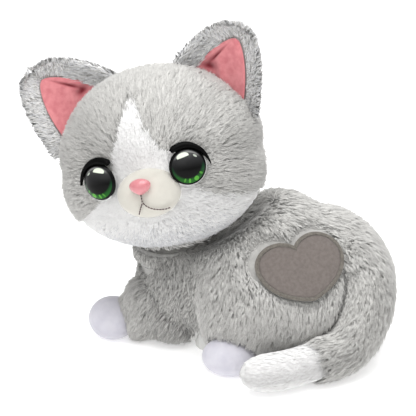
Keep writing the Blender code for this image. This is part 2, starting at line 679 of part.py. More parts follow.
# ---------------------------------------------------------------- heart button
def make_heart():
    """The felt heart and its stitched edge sit in a hole in the plush and press a switch."""
    outer = lumps_form("heart_outer", TORSO_LUMPS, 0.8)
    under = lumps_form("heart_under", TORSO_LUMPS, -SKIN + 0.5)
    border_outer = lumps_form("border_outer", TORSO_LUMPS, 1.6)
    patch = plate("heart_patch", heart_outline(HEART_HALF_WIDTH), -16, 16, parent=heart_pivot)
    boolean(patch, 'INTERSECT', outer)
    cut(patch, under)
    finish(patch, (0.27, 0.23, 0.21), 0.95)
    border = plate("heart_border", heart_outline(HEART_HALF_WIDTH + 3), -16, 16,
                   parent=heart_pivot)
    cut(border, plate("border_hole", heart_outline(HEART_HALF_WIDTH + 0.6), -20, 20,
                      parent=heart_pivot))
    boolean(border, 'INTERSECT', border_outer)
    cut(border, under)
    finish(border, (0.20, 0.17, 0.16), 0.8)

    button = rod("heart_button", (0, 0, -9), 13, 2, parent=heart_pivot, sides=20)
    join(button, rod("heart_stem", (0, 0, -13), 2.5, 8, parent=heart_pivot, sides=12))
    finish(button, PLASTIC, 0.5)
    cup_profile = ((18, -12), (18, -26), (0, -26), (0, -24.4), (16.4, -24.4), (16.4, -12))
    cup = turned("heart_cup", cup_profile, (0, 0, 0), heart_pivot)
    finish(cup, PLASTIC, 0.5)
    board = rod("heart_board", (0, 0, -23.2), 15.8, 1.6, parent=heart_pivot, sides=20)
    join(board, block("heart_switch", (-3, -3, -22.8), (3, 3, -19.4), heart_pivot))
    finish(board, (0.03, 0.22, 0.09), 0.5)


tail_clear = make_tail()
make_torso()
make_limbs(tail_clear)
eye_seats, peg_holes = make_eyes()
make_head(eye_seats, peg_holes)
make_ears()
make_face()
motor_room = make_neck_drive()
make_housing(motor_room)
make_heart()
bpy.context.view_layer.update()
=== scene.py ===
import json
import math

import bmesh
import bpy
import numpy as np
from mathutils import Matrix, Vector, kdtree


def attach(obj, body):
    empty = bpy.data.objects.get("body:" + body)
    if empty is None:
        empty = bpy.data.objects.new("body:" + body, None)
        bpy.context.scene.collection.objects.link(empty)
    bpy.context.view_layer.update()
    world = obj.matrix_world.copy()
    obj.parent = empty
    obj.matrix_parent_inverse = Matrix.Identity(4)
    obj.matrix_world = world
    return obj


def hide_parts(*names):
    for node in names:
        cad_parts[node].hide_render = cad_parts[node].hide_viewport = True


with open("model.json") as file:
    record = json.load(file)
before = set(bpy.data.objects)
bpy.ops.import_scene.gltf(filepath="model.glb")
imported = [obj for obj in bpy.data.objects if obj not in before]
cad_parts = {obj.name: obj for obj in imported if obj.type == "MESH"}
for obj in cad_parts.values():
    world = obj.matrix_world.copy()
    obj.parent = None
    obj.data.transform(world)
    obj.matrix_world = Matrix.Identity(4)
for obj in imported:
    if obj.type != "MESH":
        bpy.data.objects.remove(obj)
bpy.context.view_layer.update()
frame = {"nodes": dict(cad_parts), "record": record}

# A plush kitten with a turning head. Lengths are in millimetres until a mesh is made. Sizes repeat
# the CAD model's, but the head's form, the eyes' places and the ears' lean outwards are the look's.
MM = 0.001
SEED = 4711
PILE = 4.5  # how far the fur stands off the fabric
CLOTH_STEP = 3.2  # the mesh size of a fabric skin
LOW, FLAT_DOWN = 3, -0.6  # below this height and facing down, a skin rests on the floor
STRANDS_PER_PIECE = 21500  # nine triangles each, so that a piece stays under 200,000
DENSITY = {"torso": 2.4, "leg": 2.7, "tail": 3.0, "head": 3.0, "ear": 2.8, "neck": 2.2}  # per mm2
LONG_PILE = 9.0

HEAD_CENTRE = (16, -67, 135)
HEAD_TURN = (Matrix.Rotation(math.radians(86), 4, 'Z') @ Matrix.Rotation(math.radians(-12), 4, 'X')
             @ Matrix.Rotation(math.radians(-12), 4, 'Y'))
HEAD = Matrix.Translation(HEAD_CENTRE) @ HEAD_TURN  # local -Y is the face, +X the kitten's left
HEAD_FORM = (((0, 3, 6), (64.5, 54, 52)), ((0, 0, -15), (68.5, 52, 49.5)),
             ((38, 4, 5), (30.5, 44, 33)), ((-37, 4, 4), (30, 44, 32)))  # fuller than the CAD head
EYE_RADIUS = 12.4
EYE_DEPTH = -44.6
EYE_TURN = 19
EYE_PRINTS = {1: (26.6, -6.6), -1: (29.3, -8.5)}  # x and z of each printed eye, by its side
PRINT_RADIUS = 11.3  # the outer edge of the printed outline
RAY_RADIUS = 0.765  # where the green rays lie, as a share of it
DOME_RADIUS = 11.7
MUZZLE = ((0, -46, -19.5), (22, 14, 17))
NOSE_PLACE = (-1.2, -60.5, -13.2)

FOOT = ((60, -16, 12), (13.5, 19, 13.5))
FOREPAW_AT, FOREPAW_SIZE = (17, 14), (16, 17, 15.5)  # x and z
FOREPAW_Y = {1: -101, -1: -74}  # by its side
TORSO_LUMPS = (((0, 2, 38), (58, 64, 68)), ((0, 33, 37), (58, 58, 58)), ((36, 6, 34), (31, 48, 42)),
               ((-36, 6, 34), (31, 48, 42)), ((0, -46, 36), (42, 44, 50)))
NECK = (2, -62)
HEAD_ROOM = ((2, -62, 125), (76, 76, 57))
TRAY = ((-33.8, -44.8), (33.8, 60.8))
TAIL_PATH = ((87, 4, 15), (78, 23, 15), (64, 42, 16), (51, 58, 20), (41, 67, 35),
             (30, 69, 55), (14, 56, 70))
TAIL_RADIUS = 15
TAIL_SWELL = 4.5  # how much thicker it is at its root
TAIL_TIP_SHARE = 0.33

HEART_CENTRE = (46.3, 29.4, 67.7)
HEART_NORMAL = (0.79, 0.37, 0.49)
HEART_TILT = 10
HEART_HALF_WIDTH = 26
HEART_LIFT = 0.9  # how far the felt stands above the flank's outer surface

EAR_SIZE = (32, 50)
EAR_SKEW = 5  # how far the tip leans outwards
EAR_GRID = 44
EAR_ROOT = 8  # how far the ear's sheet reaches into the head
LINING_SPAN = (0.02, 0.82)  # the lining's lower end and its height, as shares of the ear's
LINING_WIDTH, LINING_SHIFT = 0.66, 0.02  # its width and its shift outwards, as such shares
EARS = {"left": (1, 42, 36, 29), "right": (-1, 46, 33, 38)}  # side, x, z, lean
SIDES = {"left": 1, "right": -1}

FLOOR_LEVEL, FLOOR_REACH = -0.4, 3000
CAMERA_ANGLE = (97, 22)  # azimuth and elevation
CAMERA_TARGET = (-27.5, -40.9, 79.9)
CAMERA_LENS = 125.5

scene = bpy.context.scene


# ---------------------------------------------------------------- materials
def new_material(name, colour, roughness, **sockets):
    """A Principled material with constant values, and its node."""
    mat = bpy.data.materials.new(name)
    mat.use_nodes = True
    shader = mat.node_tree.nodes["Principled BSDF"]
    shader.inputs["Base Color"].default_value = (*colour, 1)
    shader.inputs["Roughness"].default_value = roughness
    for socket, value in sockets.items():
        shader.inputs[socket.replace("_", " ")].default_value = value
    return mat, shader


def noise(mat, scale, detail=3.0, stretch=(1, 1, 1), coords="Object"):
    """A noise texture's factor, on the mesh's own coordinates in metres."""
    tree = mat.node_tree
    place = tree.nodes.new("ShaderNodeTexCoord")
    mapping = tree.nodes.new("ShaderNodeMapping")
    mapping.inputs["Scale"].default_value = stretch
    texture = tree.nodes.new("ShaderNodeTexNoise")
    texture.inputs["Scale"].default_value = scale
    texture.inputs["Detail"].default_value = detail
    tree.links.new(place.outputs[coords], mapping.inputs["Vector"])
    tree.links.new(mapping.outputs["Vector"], texture.inputs["Vector"])
    return texture.outputs["Fac"]


def add_bump(mat, height, strength, distance):
    """Bump from a height output, joined to any bump the material already has."""
    tree = mat.node_tree
    shader = tree.nodes["Principled BSDF"]
    bump = tree.nodes.new("ShaderNodeBump")
    bump.inputs["Strength"].default_value = strength
    bump.inputs["Distance"].default_value = distance
    tree.links.new(height, bump.inputs["Height"])
    if shader.inputs["Normal"].is_linked:
        tree.links.new(shader.inputs["Normal"].links[0].from_socket, bump.inputs["Normal"])
    tree.links.new(bump.outputs["Normal"], shader.inputs["Normal"])


def ramp(mat, factor, stops):
    """A colour ramp over a factor; stops are (position, colour)."""
    node = mat.node_tree.nodes.new("ShaderNodeValToRGB")
    elements = node.color_ramp.elements
    while len(elements) < len(stops):
        elements.new(0.5)
    for element, (position, colour) in zip(elements, stops):
        element.position = position
        element.color = (*colour, 1)
    mat.node_tree.links.new(factor, node.inputs["Fac"])
    return node.outputs["Color"]


def mottled(mat, low, high, scale, spread=(0.35, 0.65), detail=4.0):
    """Base colour that wanders between two colours."""
    shader = mat.node_tree.nodes["Principled BSDF"]
    colour = ramp(mat, noise(mat, scale, detail), ((spread[0], low), (spread[1], high)))
    mat.node_tree.links.new(colour, shader.inputs["Base Color"])


def rough_noise(mat, scale, low, high):
    """Roughness that wanders between two values."""
    tree = mat.node_tree
    span = tree.nodes.new("ShaderNodeMapRange")
    span.inputs["To Min"].default_value = low
    span.inputs["To Max"].default_value = high
    tree.links.new(noise(mat, scale), span.inputs["Value"])
    tree.links.new(span.outputs["Result"], tree.nodes["Principled BSDF"].inputs["Roughness"])


def fibre_material(name, colour):
    """Pile fibre: a soft matt strand with a little sheen, and a fine uneven gloss."""
    mat, _ = new_material(name, colour, 0.8, Sheen_Weight=0.25, Sheen_Roughness=0.5,
                          Specular_IOR_Level=0.25)
    rough_noise(mat, 900, 0.65, 0.95)
    return mat


def cloth_material(name, low, high, scale=220, bump=0.5, sheen=0.4):
    """Fabric under or between the pile: mottled, matt and finely uneven."""
    mat, _ = new_material(name, high, 0.92, Sheen_Weight=sheen, Sheen_Roughness=0.5,
                          Specular_IOR_Level=0.2)
    mottled(mat, low, high, scale)
    add_bump(mat, noise(mat, 1600, 4), bump, 0.0004)
    return mat


def mix(mat, share, a, b):
    """Colour a where share is 0 and b where it is 1; b may be a constant."""
    tree = mat.node_tree
    node = tree.nodes.new("ShaderNodeMix")
    node.data_type = "RGBA"
    tree.links.new(share, node.inputs[0])
    colours = [socket for socket in node.inputs if socket.type == "RGBA"]
    for socket, value in zip(colours, (a, b)):
        if isinstance(value, tuple):
            socket.default_value = (*value, 1)
        else:
            tree.links.new(value, socket)
    return next(socket for socket in node.outputs if socket.type == "RGBA")


def paint_shade_in_tucks(mat, colour):
    """Darken the colour where a piece's tuck attribute says that the cloth folds in: painted shade
    in the folds.
    """
    tree = mat.node_tree
    attribute = tree.nodes.new("ShaderNodeAttribute")
    attribute.attribute_name = "tuck"
    into = tree.nodes["Principled BSDF"].inputs["Base Color"]
    tree.links.new(mix(mat, attribute.outputs["Fac"], into.links[0].from_socket, colour), into)


def plastic_material(name, colour, roughness, scale=1500, bump=0.12):
    """Moulded plastic with a fine spark-eroded grain."""
    mat, _ = new_material(name, colour, roughness, Specular_IOR_Level=0.5)
    dark = tuple(c * 0.93 for c in colour)
    mottled(mat, dark, colour, 60)
    add_bump(mat, noise(mat, scale, 2), bump, 0.0002)
    rough_noise(mat, 250, roughness * 0.85, min(1, roughness * 1.15))
    return mat


def metal_material(name, colour, roughness, stretch):
    """Drawn or turned metal, with streaks along one direction."""
    mat, _ = new_material(name, colour, roughness, Metallic=1.0)
    streaks = noise(mat, 900, 3, stretch)
    add_bump(mat, streaks, 0.1, 0.0001)
    mottled(mat, tuple(c * 0.8 for c in colour), colour, 300)
    return mat


def grey(value, warmth=1.0):
    """A grey, slightly warm as the plush is."""
    return (value, value * (1 - 0.012 * warmth), value * (1 - 0.05 * warmth))


def pile(name, values, warmth):
    """Four shades of one fibre, picked strand by strand."""
    return [fibre_material(f"{name}_{i + 1}", grey(v, warmth)) for i, v in enumerate(values)]


# Each pile has a lighter tip copy and a darker root copy of its fibre. The darker root is painted
# shade: the shade deep in the pile, round the strands' roots.
GREY_PILE = (pile("grey_pile_tip", (0.56, 0.61, 0.65, 0.70), 1.0),
             pile("grey_pile_root", (0.45, 0.49, 0.53, 0.57), 1.0))
WHITE_PILE = (pile("white_pile_tip", (0.93, 0.94, 0.95, 0.96), 0.3),
              pile("white_pile_root", (0.88, 0.90, 0.91, 0.92), 0.3))
# Painted shade: a near-black pile for the shaded crease where the tail lies against the flank.
CREASE_SHADE_PILE = (pile("crease_shade_pile_tip", (0.20, 0.24, 0.28, 0.34), 1.0),
               pile("crease_shade_pile_root", (0.12, 0.14, 0.17, 0.20), 1.0))
# Painted shade: a darker copy of the grey pile for fur that lies in shade, on the chest ahead of
# the haunches, in the dish under the head, up the forelegs and on the neck band.
SHADE_PILE = (pile("shade_pile_tip", (0.34, 0.40, 0.46, 0.52), 1.0),
              pile("shade_pile_root", (0.22, 0.26, 0.30, 0.34), 1.0))
# A dimmer, cooler copy of the white pile. Under the chin it is painted shade; on the ears it is
# painted light, lifting their grey.
CHIN_PILE = (pile("chin_pile_tip", (0.66, 0.70, 0.74, 0.78), -0.6),
             pile("chin_pile_root", (0.60, 0.63, 0.66, 0.70), -0.6))
PILES = (GREY_PILE, WHITE_PILE, CREASE_SHADE_PILE, SHADE_PILE, CHIN_PILE)
GREY_KIND, WHITE_KIND, CREASE_SHADE_KIND, SHADE_KIND, CHIN_KIND = range(5)

GREY_CLOTH = cloth_material("grey_backing", grey(0.42), grey(0.50))
WHITE_CLOTH = cloth_material("white_backing", grey(0.86, 0.3), grey(0.92, 0.3))
VELBOA = cloth_material("white_velboa", (0.54, 0.53, 0.59), (0.60, 0.59, 0.64), 140, 0.3, 0.3)
CREAM = cloth_material("cream_velboa", (0.52, 0.50, 0.45), (0.58, 0.56, 0.505), 90, 0.2, 0.3)
KNIT = cloth_material("sleeve_knit", grey(0.30), grey(0.42), 400, 0.8)
FELT = cloth_material("dark_felt", (0.145, 0.125, 0.115), (0.175, 0.152, 0.140), 500, 0.6, 0.2)
THREAD = cloth_material("dark_thread", (0.115, 0.105, 0.09), (0.175, 0.16, 0.14), 700, 0.6, 0.3)
MOUTH_THREAD = cloth_material("mouth_thread", (0.07, 0.05, 0.05), (0.13, 0.09, 0.085), 900, 0.4)
PINK = cloth_material("pink_velour", (0.58, 0.18, 0.20), (0.68, 0.25, 0.265), 220, 0.25, 0.4)
# Painted shade: dark red in the lining's tucks, where its folds fall into shade.
paint_shade_in_tucks(PINK, (0.20, 0.02, 0.03))
FIBREFILL = cloth_material("stuffing", (0.80, 0.80, 0.80), (0.93, 0.93, 0.93), 120, 0.9)


# ---------------------------------------------------------------- meshes
def add_object(name, mesh, *materials):
    """A new object in the scene, with its materials."""
    obj = bpy.data.objects.new(name, mesh)
    scene.collection.objects.link(obj)
    for material in materials:
        mesh.materials.append(material)
    return obj


def shade_smooth(mesh):
    mesh.polygons.foreach_set("use_smooth", [True] * len(mesh.polygons))


def mesh_from(bm, name):
    """A mesh out of a bmesh, which is freed."""
    mesh = bpy.data.meshes.new(name)
    bm.to_mesh(mesh)
    bm.free()
    return mesh


def mesh_of(name, points, faces):
    """A smooth mesh from points in millimetres."""
    mesh = bpy.data.meshes.new(name)
    mesh.from_pydata([tuple(float(c) * MM for c in p) for p in points], [], faces)
    mesh.validate()
    shade_smooth(mesh)
    return mesh


def dress(obj, body, slot, *nodes):
    """Let a piece ride a body and stand for CAD nodes, which are hidden. The slot is not used."""
    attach(obj, body)
    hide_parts(*nodes)


def coords(obj):
    """The object's vertices, in millimetres."""
    flat = np.empty(len(obj.data.vertices) * 3, np.float32)
    obj.data.vertices.foreach_get("co", flat)
    return flat.reshape(-1, 3).astype(float) / MM


def set_coords(obj, points):
    obj.data.vertices.foreach_set("co", (np.asarray(points) * MM).astype(np.float32).ravel())
    obj.data.update()


def apply_modifiers(obj):
    bpy.context.view_layer.update()
    evaluated = obj.evaluated_get(bpy.context.evaluated_depsgraph_get())
    mesh = bpy.data.meshes.new_from_object(evaluated)
    obj.modifiers.clear()
    obj.data = mesh
    shade_smooth(mesh)


def fix_normals(obj):
    """Turn every face of a closed mesh outwards."""
    bm = bmesh.new()
    bm.from_mesh(obj.data)
    bmesh.ops.recalc_face_normals(bm, faces=bm.faces)
    bm.to_mesh(obj.data)
    bm.free()


def soften(obj, passes, subdivide=False):
    """Smooth a skin, and subdivide it once if asked."""
    if passes:
        modifier = obj.modifiers.new("soften", "SMOOTH")
        modifier.iterations = passes
    if subdivide:
        modifier = obj.modifiers.new("divide", "SUBSURF")
        modifier.levels = 1
    apply_modifiers(obj)


def remesh(obj, voxel, smoothing):
    """Rebuild a mesh as one even closed skin."""
    modifier = obj.modifiers.new("voxels", "REMESH")
    modifier.mode = "VOXEL"
    modifier.voxel_size = voxel * MM
    soften(obj, smoothing)


def lump_skin(name, lumps, placing=None, shrink=PILE, voxel=CLOTH_STEP, smoothing=10):
    """One closed fabric skin round overlapping stuffed lumps, inside the fur's outer surface."""
    placing = placing or Matrix.Identity(4)
    bm = bmesh.new()
    for centre, radii in lumps:
        size = Matrix.Diagonal((*(r - shrink for r in radii), 1))
        bmesh.ops.create_icosphere(bm, subdivisions=4, radius=1,
                                   matrix=placing @ Matrix.Translation(centre) @ size)
    bmesh.ops.scale(bm, vec=(MM, MM, MM), verts=bm.verts)
    obj = add_object(name, mesh_from(bm, name))
    remesh(obj, voxel, smoothing)
    return obj


def inflate(obj, pressure, cap, frames=20):
    """Fill the skin with soft pressure, with each point's travel capped."""
    before = coords(obj)
    modifier = obj.modifiers.new("Cloth", "CLOTH")
    settings = modifier.settings
    settings.quality = 5
    settings.mass = 0.3
    settings.use_pressure = True
    settings.uniform_pressure_force = pressure
    settings.effector_weights.gravity = 0
    modifier.point_cache.frame_start = 1
    modifier.point_cache.frame_end = frames
    for i in range(1, frames + 1):
        scene.frame_set(i)
    apply_modifiers(obj)
    scene.frame_set(1)
    move = coords(obj) - before
    reach = np.linalg.norm(move, axis=1, keepdims=True)
    move *= np.minimum(1, cap / np.maximum(reach, 1e-6))
    set_coords(obj, before + move)


def cut_with(obj, outline, bottom, top):
    """Cut an upright prism out of a skin, leaving a clean pocket."""
    count = len(outline)
    points = [(x, y, bottom) for x, y in outline] + [(x, y, top) for x, y in outline]
    faces = [(i, (i + 1) % count, count + (i + 1) % count, count + i) for i in range(count)]
    faces += [tuple(range(count - 1, -1, -1)), tuple(range(count, 2 * count))]
    cutter = add_object("cutter", mesh_of("cutter", points, faces))
    modifier = obj.modifiers.new("pocket", "BOOLEAN")
    modifier.operation = "DIFFERENCE"
    modifier.solver = "EXACT"
    modifier.object = cutter
    apply_modifiers(obj)
    bpy.data.objects.remove(cutter)


def rounded_rectangle(low, high, corner, steps=6):
    """The outline of a rectangle round the origin, with round corners."""
    points = []
    for (x, y), start in (((high[0], high[1]), 0), ((low[0], high[1]), 90),
                          ((low[0], low[1]), 180), ((high[0], low[1]), 270)):
        middle = (x - corner if x > 0 else x + corner, y - corner if y > 0 else y + corner)
        for i in range(steps + 1):
            a = math.radians(start + 90 * i / steps)
            points.append((middle[0] + corner * math.cos(a), middle[1] + corner * math.sin(a)))
    return points


# ---------------------------------------------------------------- fur
def unit(vectors):
    """Rows of vectors at length 1."""
    return vectors / np.maximum(np.linalg.norm(vectors, axis=1, keepdims=True), 1e-9)


def scatter(obj, density, rng):
    """Points over a skin at a density for each square millimetre, with their normals."""
    mesh = obj.data
    mesh.calc_loop_triangles()
    corners = np.empty(len(mesh.loop_triangles) * 3, np.int32)
    mesh.loop_triangles.foreach_get("vertices", corners)
    corners = corners.reshape(-1, 3)
    points = coords(obj)
    normals = np.empty(len(mesh.vertices) * 3, np.float32)
    mesh.vertices.foreach_get("normal", normals)
    normals = normals.reshape(-1, 3).astype(float)
    a, b, c = (points[corners[:, i]] for i in range(3))
    area = np.linalg.norm(np.cross(b - a, c - a), axis=1) / 2
    count = int(area.sum() * density)
    chosen = np.searchsorted(np.cumsum(area), (np.arange(count) + rng.random(count))
                             / count * area.sum())
    chosen = np.minimum(chosen, len(area) - 1)
    u, v = rng.random(count), rng.random(count)
    over = u + v > 1
    u[over], v[over] = 1 - u[over], 1 - v[over]
    weights = np.stack([1 - u - v, u, v], axis=1)[:, :, None]
    place = (points[corners[chosen]] * weights).sum(axis=1)
    normal = unit((normals[corners[chosen]] * weights).sum(axis=1))
    return place, normal


def clumps(place, spacing, rng):
    """For each strand, the index of the strand its tuft gathers round."""
    keep = rng.permutation(len(place))[:max(1, int(len(place) * spacing))]
    tree = kdtree.KDTree(len(keep))
    for i, index in enumerate(keep):
        tree.insert(place[index], i)
    tree.balance()
    return keep[[tree.find(p)[1] for p in place]]


def strands(name, place, normal, flow, length, body, kind, rng, width=0.26, rise=1.0,
            gather=0.5, tuft=0.20, wander=0.22, floor=0.25):
    """Pile as solid tapered strands, three-sided with one bend, gathered into tufts.

    flow is the way the nap lies. length, kind (an index of PILES) and rise, how steeply a
    strand stands, are for each strand.
    """
    count = len(place)
    centre = clumps(place, tuft, rng)
    lay = unit(flow - normal * (flow * normal).sum(axis=1, keepdims=True))
    turn = rng.normal(size=(count, 3)) * wander
    lay = unit(lay + turn[centre] + rng.normal(size=(count, 3)) * wander * 0.4)
    lay = unit(lay - normal * (lay * normal).sum(axis=1, keepdims=True))
    lift = (1 + 0.25 * rng.normal(size=count)[centre, None]) * np.reshape(rise, (-1, 1))
    long = (length * (0.8 + 0.35 * rng.random(count)))[:, None]
    first = unit(normal * 0.95 * lift + lay * 0.6)
    last = unit(normal * 0.22 * lift + lay)
    root = place - normal * 0.4
    middle = root + first * long * 0.45
    tip = middle + last * long * 0.55
    pull = gather * np.clip(rng.random((count, 1)) + 0.3, 0, 1)
    reach = np.linalg.norm(place[centre] - place, axis=1, keepdims=True)
    pull = pull * (reach < 4)
    tip += (tip[centre] - tip) * pull
    middle += (middle[centre] - middle) * pull * 0.35
    across = unit(np.cross(tip - root, normal))
    up = unit(np.cross(across, tip - root))
    relief = np.where((kind == WHITE_KIND) | (kind == CHIN_KIND), 0.10, 0.20)[:, None]
    rings, shade = [], []
    for base, size in ((root, 1.0), (middle, 0.85)):
        for k in range(3):
            a = math.tau * k / 3 + math.pi / 2
            side = across * math.cos(a) + up * math.sin(a)
            rings.append(base + side * width * size)
            shade.append(unit(normal * 0.85 + side * relief))
    rings.append(tip)
    shade.append(unit(normal + lay * relief * 0.5))
    points = np.stack(rings, axis=1)
    shade = np.stack(shade, axis=1)
    points[:, :, 2] = np.maximum(points[:, :, 2], floor)
    pattern = []
    for k in range(3):
        n = (k + 1) % 3
        pattern += [(k, 3 + n, n), (k, 3 + k, 3 + n), (3 + k, 6, 3 + n)]
    pattern = np.array(pattern)
    tone = rng.integers(0, 4, count)
    tone = np.where(rng.random(count) < 0.5, tone[centre], tone)
    materials = [m for tips, roots in PILES for m in tips + roots]
    of_tip = kind * 8 + tone
    # The faces of a strand's lower half take the darker root copy, painted shade at the root.
    of_shaded_root = of_tip + 4
    of_faces = np.stack([of_shaded_root, of_shaded_root, of_tip] * 3, axis=1)
    for part, start in enumerate(range(0, count, STRANDS_PER_PIECE)):
        rows = slice(start, start + STRANDS_PER_PIECE)
        here = points[rows].reshape(-1, 3)
        n = len(here) // 7
        faces = (np.arange(n)[:, None, None] * 7 + pattern[None]).reshape(-1, 3)
        mesh = bpy.data.meshes.new(f"{name}_{part + 1}")
        mesh.vertices.add(n * 7)
        mesh.vertices.foreach_set("co", (here * MM).astype(np.float32).ravel())
        mesh.loops.add(len(faces) * 3)
        mesh.loops.foreach_set("vertex_index", faces.astype(np.int32).ravel())
        mesh.polygons.add(len(faces))
        mesh.polygons.foreach_set("loop_start", (np.arange(len(faces)) * 3).astype(np.int32))
        used, index = np.unique(of_faces[rows].ravel(), return_inverse=True)
        mesh.polygons.foreach_set("material_index", index.astype(np.int32))
        mesh.polygons.foreach_set("use_smooth", np.ones(len(faces), bool))
        mesh.update(calc_edges=True)
        mesh.normals_split_custom_set_from_vertices(shade[rows].reshape(-1, 3))
        obj = add_object(f"{name}_{part + 1}", mesh, *(materials[i] for i in used))
        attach(obj, body)


def rests(place, normal):
    """Which points lie on a piece's flattened underside."""
    return (place[:, 2] < LOW) & (normal[:, 2] < FLAT_DOWN)


def generator(step):
    """Random numbers of a piece's own, the same in each run."""
    return np.random.default_rng(SEED + step)


def smooth_step(values, low, high):
    t = np.clip((values - low) / (high - low), 0, 1)
    return t * t * (3 - 2 * t)


def to_local(points, placing):
    inverse = np.array(placing.inverted())
    return points @ inverse[:3, :3].T + inverse[:3, 3]


def turn_vectors(vectors, placing):
    return vectors @ np.array(placing)[:3, :3].T


# ---------------------------------------------------------------- heart outline and place
def heart_outline(scale, steps=32):
    """The fat heart of the CAD model, with its blunt point towards -Y."""
    points = []
    for i in range(steps):
        t = math.tau * i / steps
        x = math.sin(t) * abs(math.sin(t)) ** 1.57
        y = (13 * math.cos(t) - 2.6 * math.cos(2 * t) - 2.55 * math.cos(3 * t)
             - 0.22 * math.cos(4 * t)) / 16 + 0.156
        points.append((-x * scale, y * scale * 0.95))
    return points


def outline_area(outline):
    """The area inside a closed outline."""
    pairs = zip(outline, outline[1:] + outline[:1])
    return abs(sum(a[0] * b[1] - b[0] * a[1] for a, b in pairs)) / 2


heart_out = Vector(HEART_NORMAL).normalized()
heart_up = (Vector((0, 0, 1)) - heart_out * heart_out.z).normalized()
heart_side = heart_up.cross(heart_out)
heart_axes = Matrix((heart_side, heart_up, heart_out)).transposed().to_4x4()
HEART = (Matrix.Translation(HEART_CENTRE) @ heart_axes
         @ Matrix.Rotation(math.radians(HEART_TILT), 4, 'Z'))


def lump_crossings(point, along, lumps, shrink=0):
    """Where a line enters and leaves each lump that it meets."""
    found = []
    for centre, radii in lumps:
        o = Vector([(p - c) / (r - shrink) for p, c, r in zip(point, centre, radii)])
        d = Vector([a / (r - shrink) for a, r in zip(along, radii)])
        a, b, c = d.dot(d), 2 * o.dot(d), o.dot(o) - 1
        inside = b * b - 4 * a * c
        if inside >= 0:
            found.append(((-b - math.sqrt(inside)) / (2 * a), (-b + math.sqrt(inside)) / (2 * a)))
    return found


def torso_hit(point, along):
    """Where a line leaves the torso's outer surface, rounded over where two lumps meet."""
    hits = [leaves for _, leaves in lump_crossings(point, along, TORSO_LUMPS)]
    blend = 2.5
    best = max(hits)
    return best + blend * math.log(sum(math.exp((h - best) / blend) for h in hits)) - 0.3


def on_flank(x, y, lift):
    """A point of the heart's plane laid on the flank, this far above its surface."""
    base = HEART @ Vector((x, y, 0))
    return base + heart_out * (torso_hit(base, heart_out) + lift)


def inside_outline(x, y, outline):
    """Which points lie inside a closed outline."""
    inside = np.zeros(len(x), bool)
    count = len(outline)
    for i in range(count):
        (x1, y1), (x2, y2) = outline[i], outline[(i + 1) % count]
        crosses = ((y1 > y) != (y2 > y))
        with np.errstate(divide="ignore", invalid="ignore"):
            at = (x2 - x1) * (y - y1) / (y2 - y1 if y2 != y1 else 1e-9) + x1
        inside ^= crosses & (x < at)
    return inside


# ---------------------------------------------------------------- torso
def from_neck(points):
    """How far points are from the neck's upright axis."""
    return np.hypot(points[:, 0] - NECK[0], points[:, 1] - NECK[1])


def in_head_room(points, grow):
    """Below 1 inside the room that the head turns in, grown this far."""
    (cx, cy, cz), (a, b, c) = HEAD_ROOM
    return (((points[:, 0] - cx) / (a + grow)) ** 2 + ((points[:, 1] - cy) / (b + grow)) ** 2
            + ((points[:, 2] - cz) / (c + grow)) ** 2)


def press_dish(obj, grow):
    """Lower the skin under the head on to the dish that the head turns in."""
    points = coords(obj)
    (cx, cy, cz), (a, b, c) = HEAD_ROOM
    reach = ((points[:, 0] - cx) / (a + grow)) ** 2 + ((points[:, 1] - cy) / (b + grow)) ** 2
    bottom = cz - (c + grow) * np.sqrt(np.clip(1 - reach, 0, 1))
    low = (in_head_room(points, grow) < 1) & (points[:, 2] > bottom)
    points[low, 2] = bottom[low]
    set_coords(obj, points)


def flatten_bottom(obj, level):
    """Lift whatever lies below a level on to it, as a piece flattens where it rests."""
    points = coords(obj)
    points[:, 2] = np.maximum(points[:, 2], level)
    set_coords(obj, points)


def body_flow(place, normal):
    """The nap runs down the flanks and a little forward, and backward over the back."""
    flow = np.zeros_like(place)
    flow[:, 0] = 0.15 * np.sign(place[:, 0])
    flow[:, 1] = -0.4 + 1.2 * np.clip(normal[:, 2], 0, 1)
    flow[:, 2] = -1
    return flow


def shape_haunches(obj):
    """Swell each haunch so that it stands out from the chest ahead of it."""
    points = coords(obj)
    swell = smooth_step(points[:, 1], -38, -25) * (1 - smooth_step(points[:, 1], -5, 25))
    swell *= 1 - smooth_step(points[:, 2], 60, 88)
    swell *= smooth_step(np.abs(points[:, 0]), 30, 45)
    chest = (1 - smooth_step(points[:, 1], -42, -33)) * (1 - smooth_step(points[:, 2], 60, 80))
    points[:, 0] += np.sign(points[:, 0]) * (3.5 * swell - 0.5 * chest)
    set_coords(obj, points)


def tail_radius(share):
    """The tail's radius, this share of the way from its tip to its root."""
    return TAIL_RADIUS + TAIL_SWELL * np.clip((share - 0.3) / 0.4, 0, 1)


def tail_gap(points):
    """How far points are from the tail's surface."""
    best = np.full(len(points), 1e9)
    line = tail_points()
    for i, centre in enumerate(line):
        gap = np.linalg.norm(points - np.array(centre), axis=1) - tail_radius(i / len(line))
        best = np.minimum(best, gap)
    return best


def make_torso():
    """The torso's padded skin, with the tray's pocket cut out of it."""
    skin = lump_skin("torso_plush", TORSO_LUMPS, smoothing=8)
    flatten_bottom(skin, 1.0)
    press_dish(skin, 1.5)
    soften(skin, 5)
    shape_haunches(skin)
    inflate(skin, 4, 3)
    flatten_bottom(skin, 1.0)
    cut_with(skin, rounded_rectangle(*TRAY, 14.8), -5, 31)
    skin.data.materials.append(GREY_CLOTH)
    dress(skin, "torso", "grey_plush", "torso_skin")
    grow_torso_pile(skin)


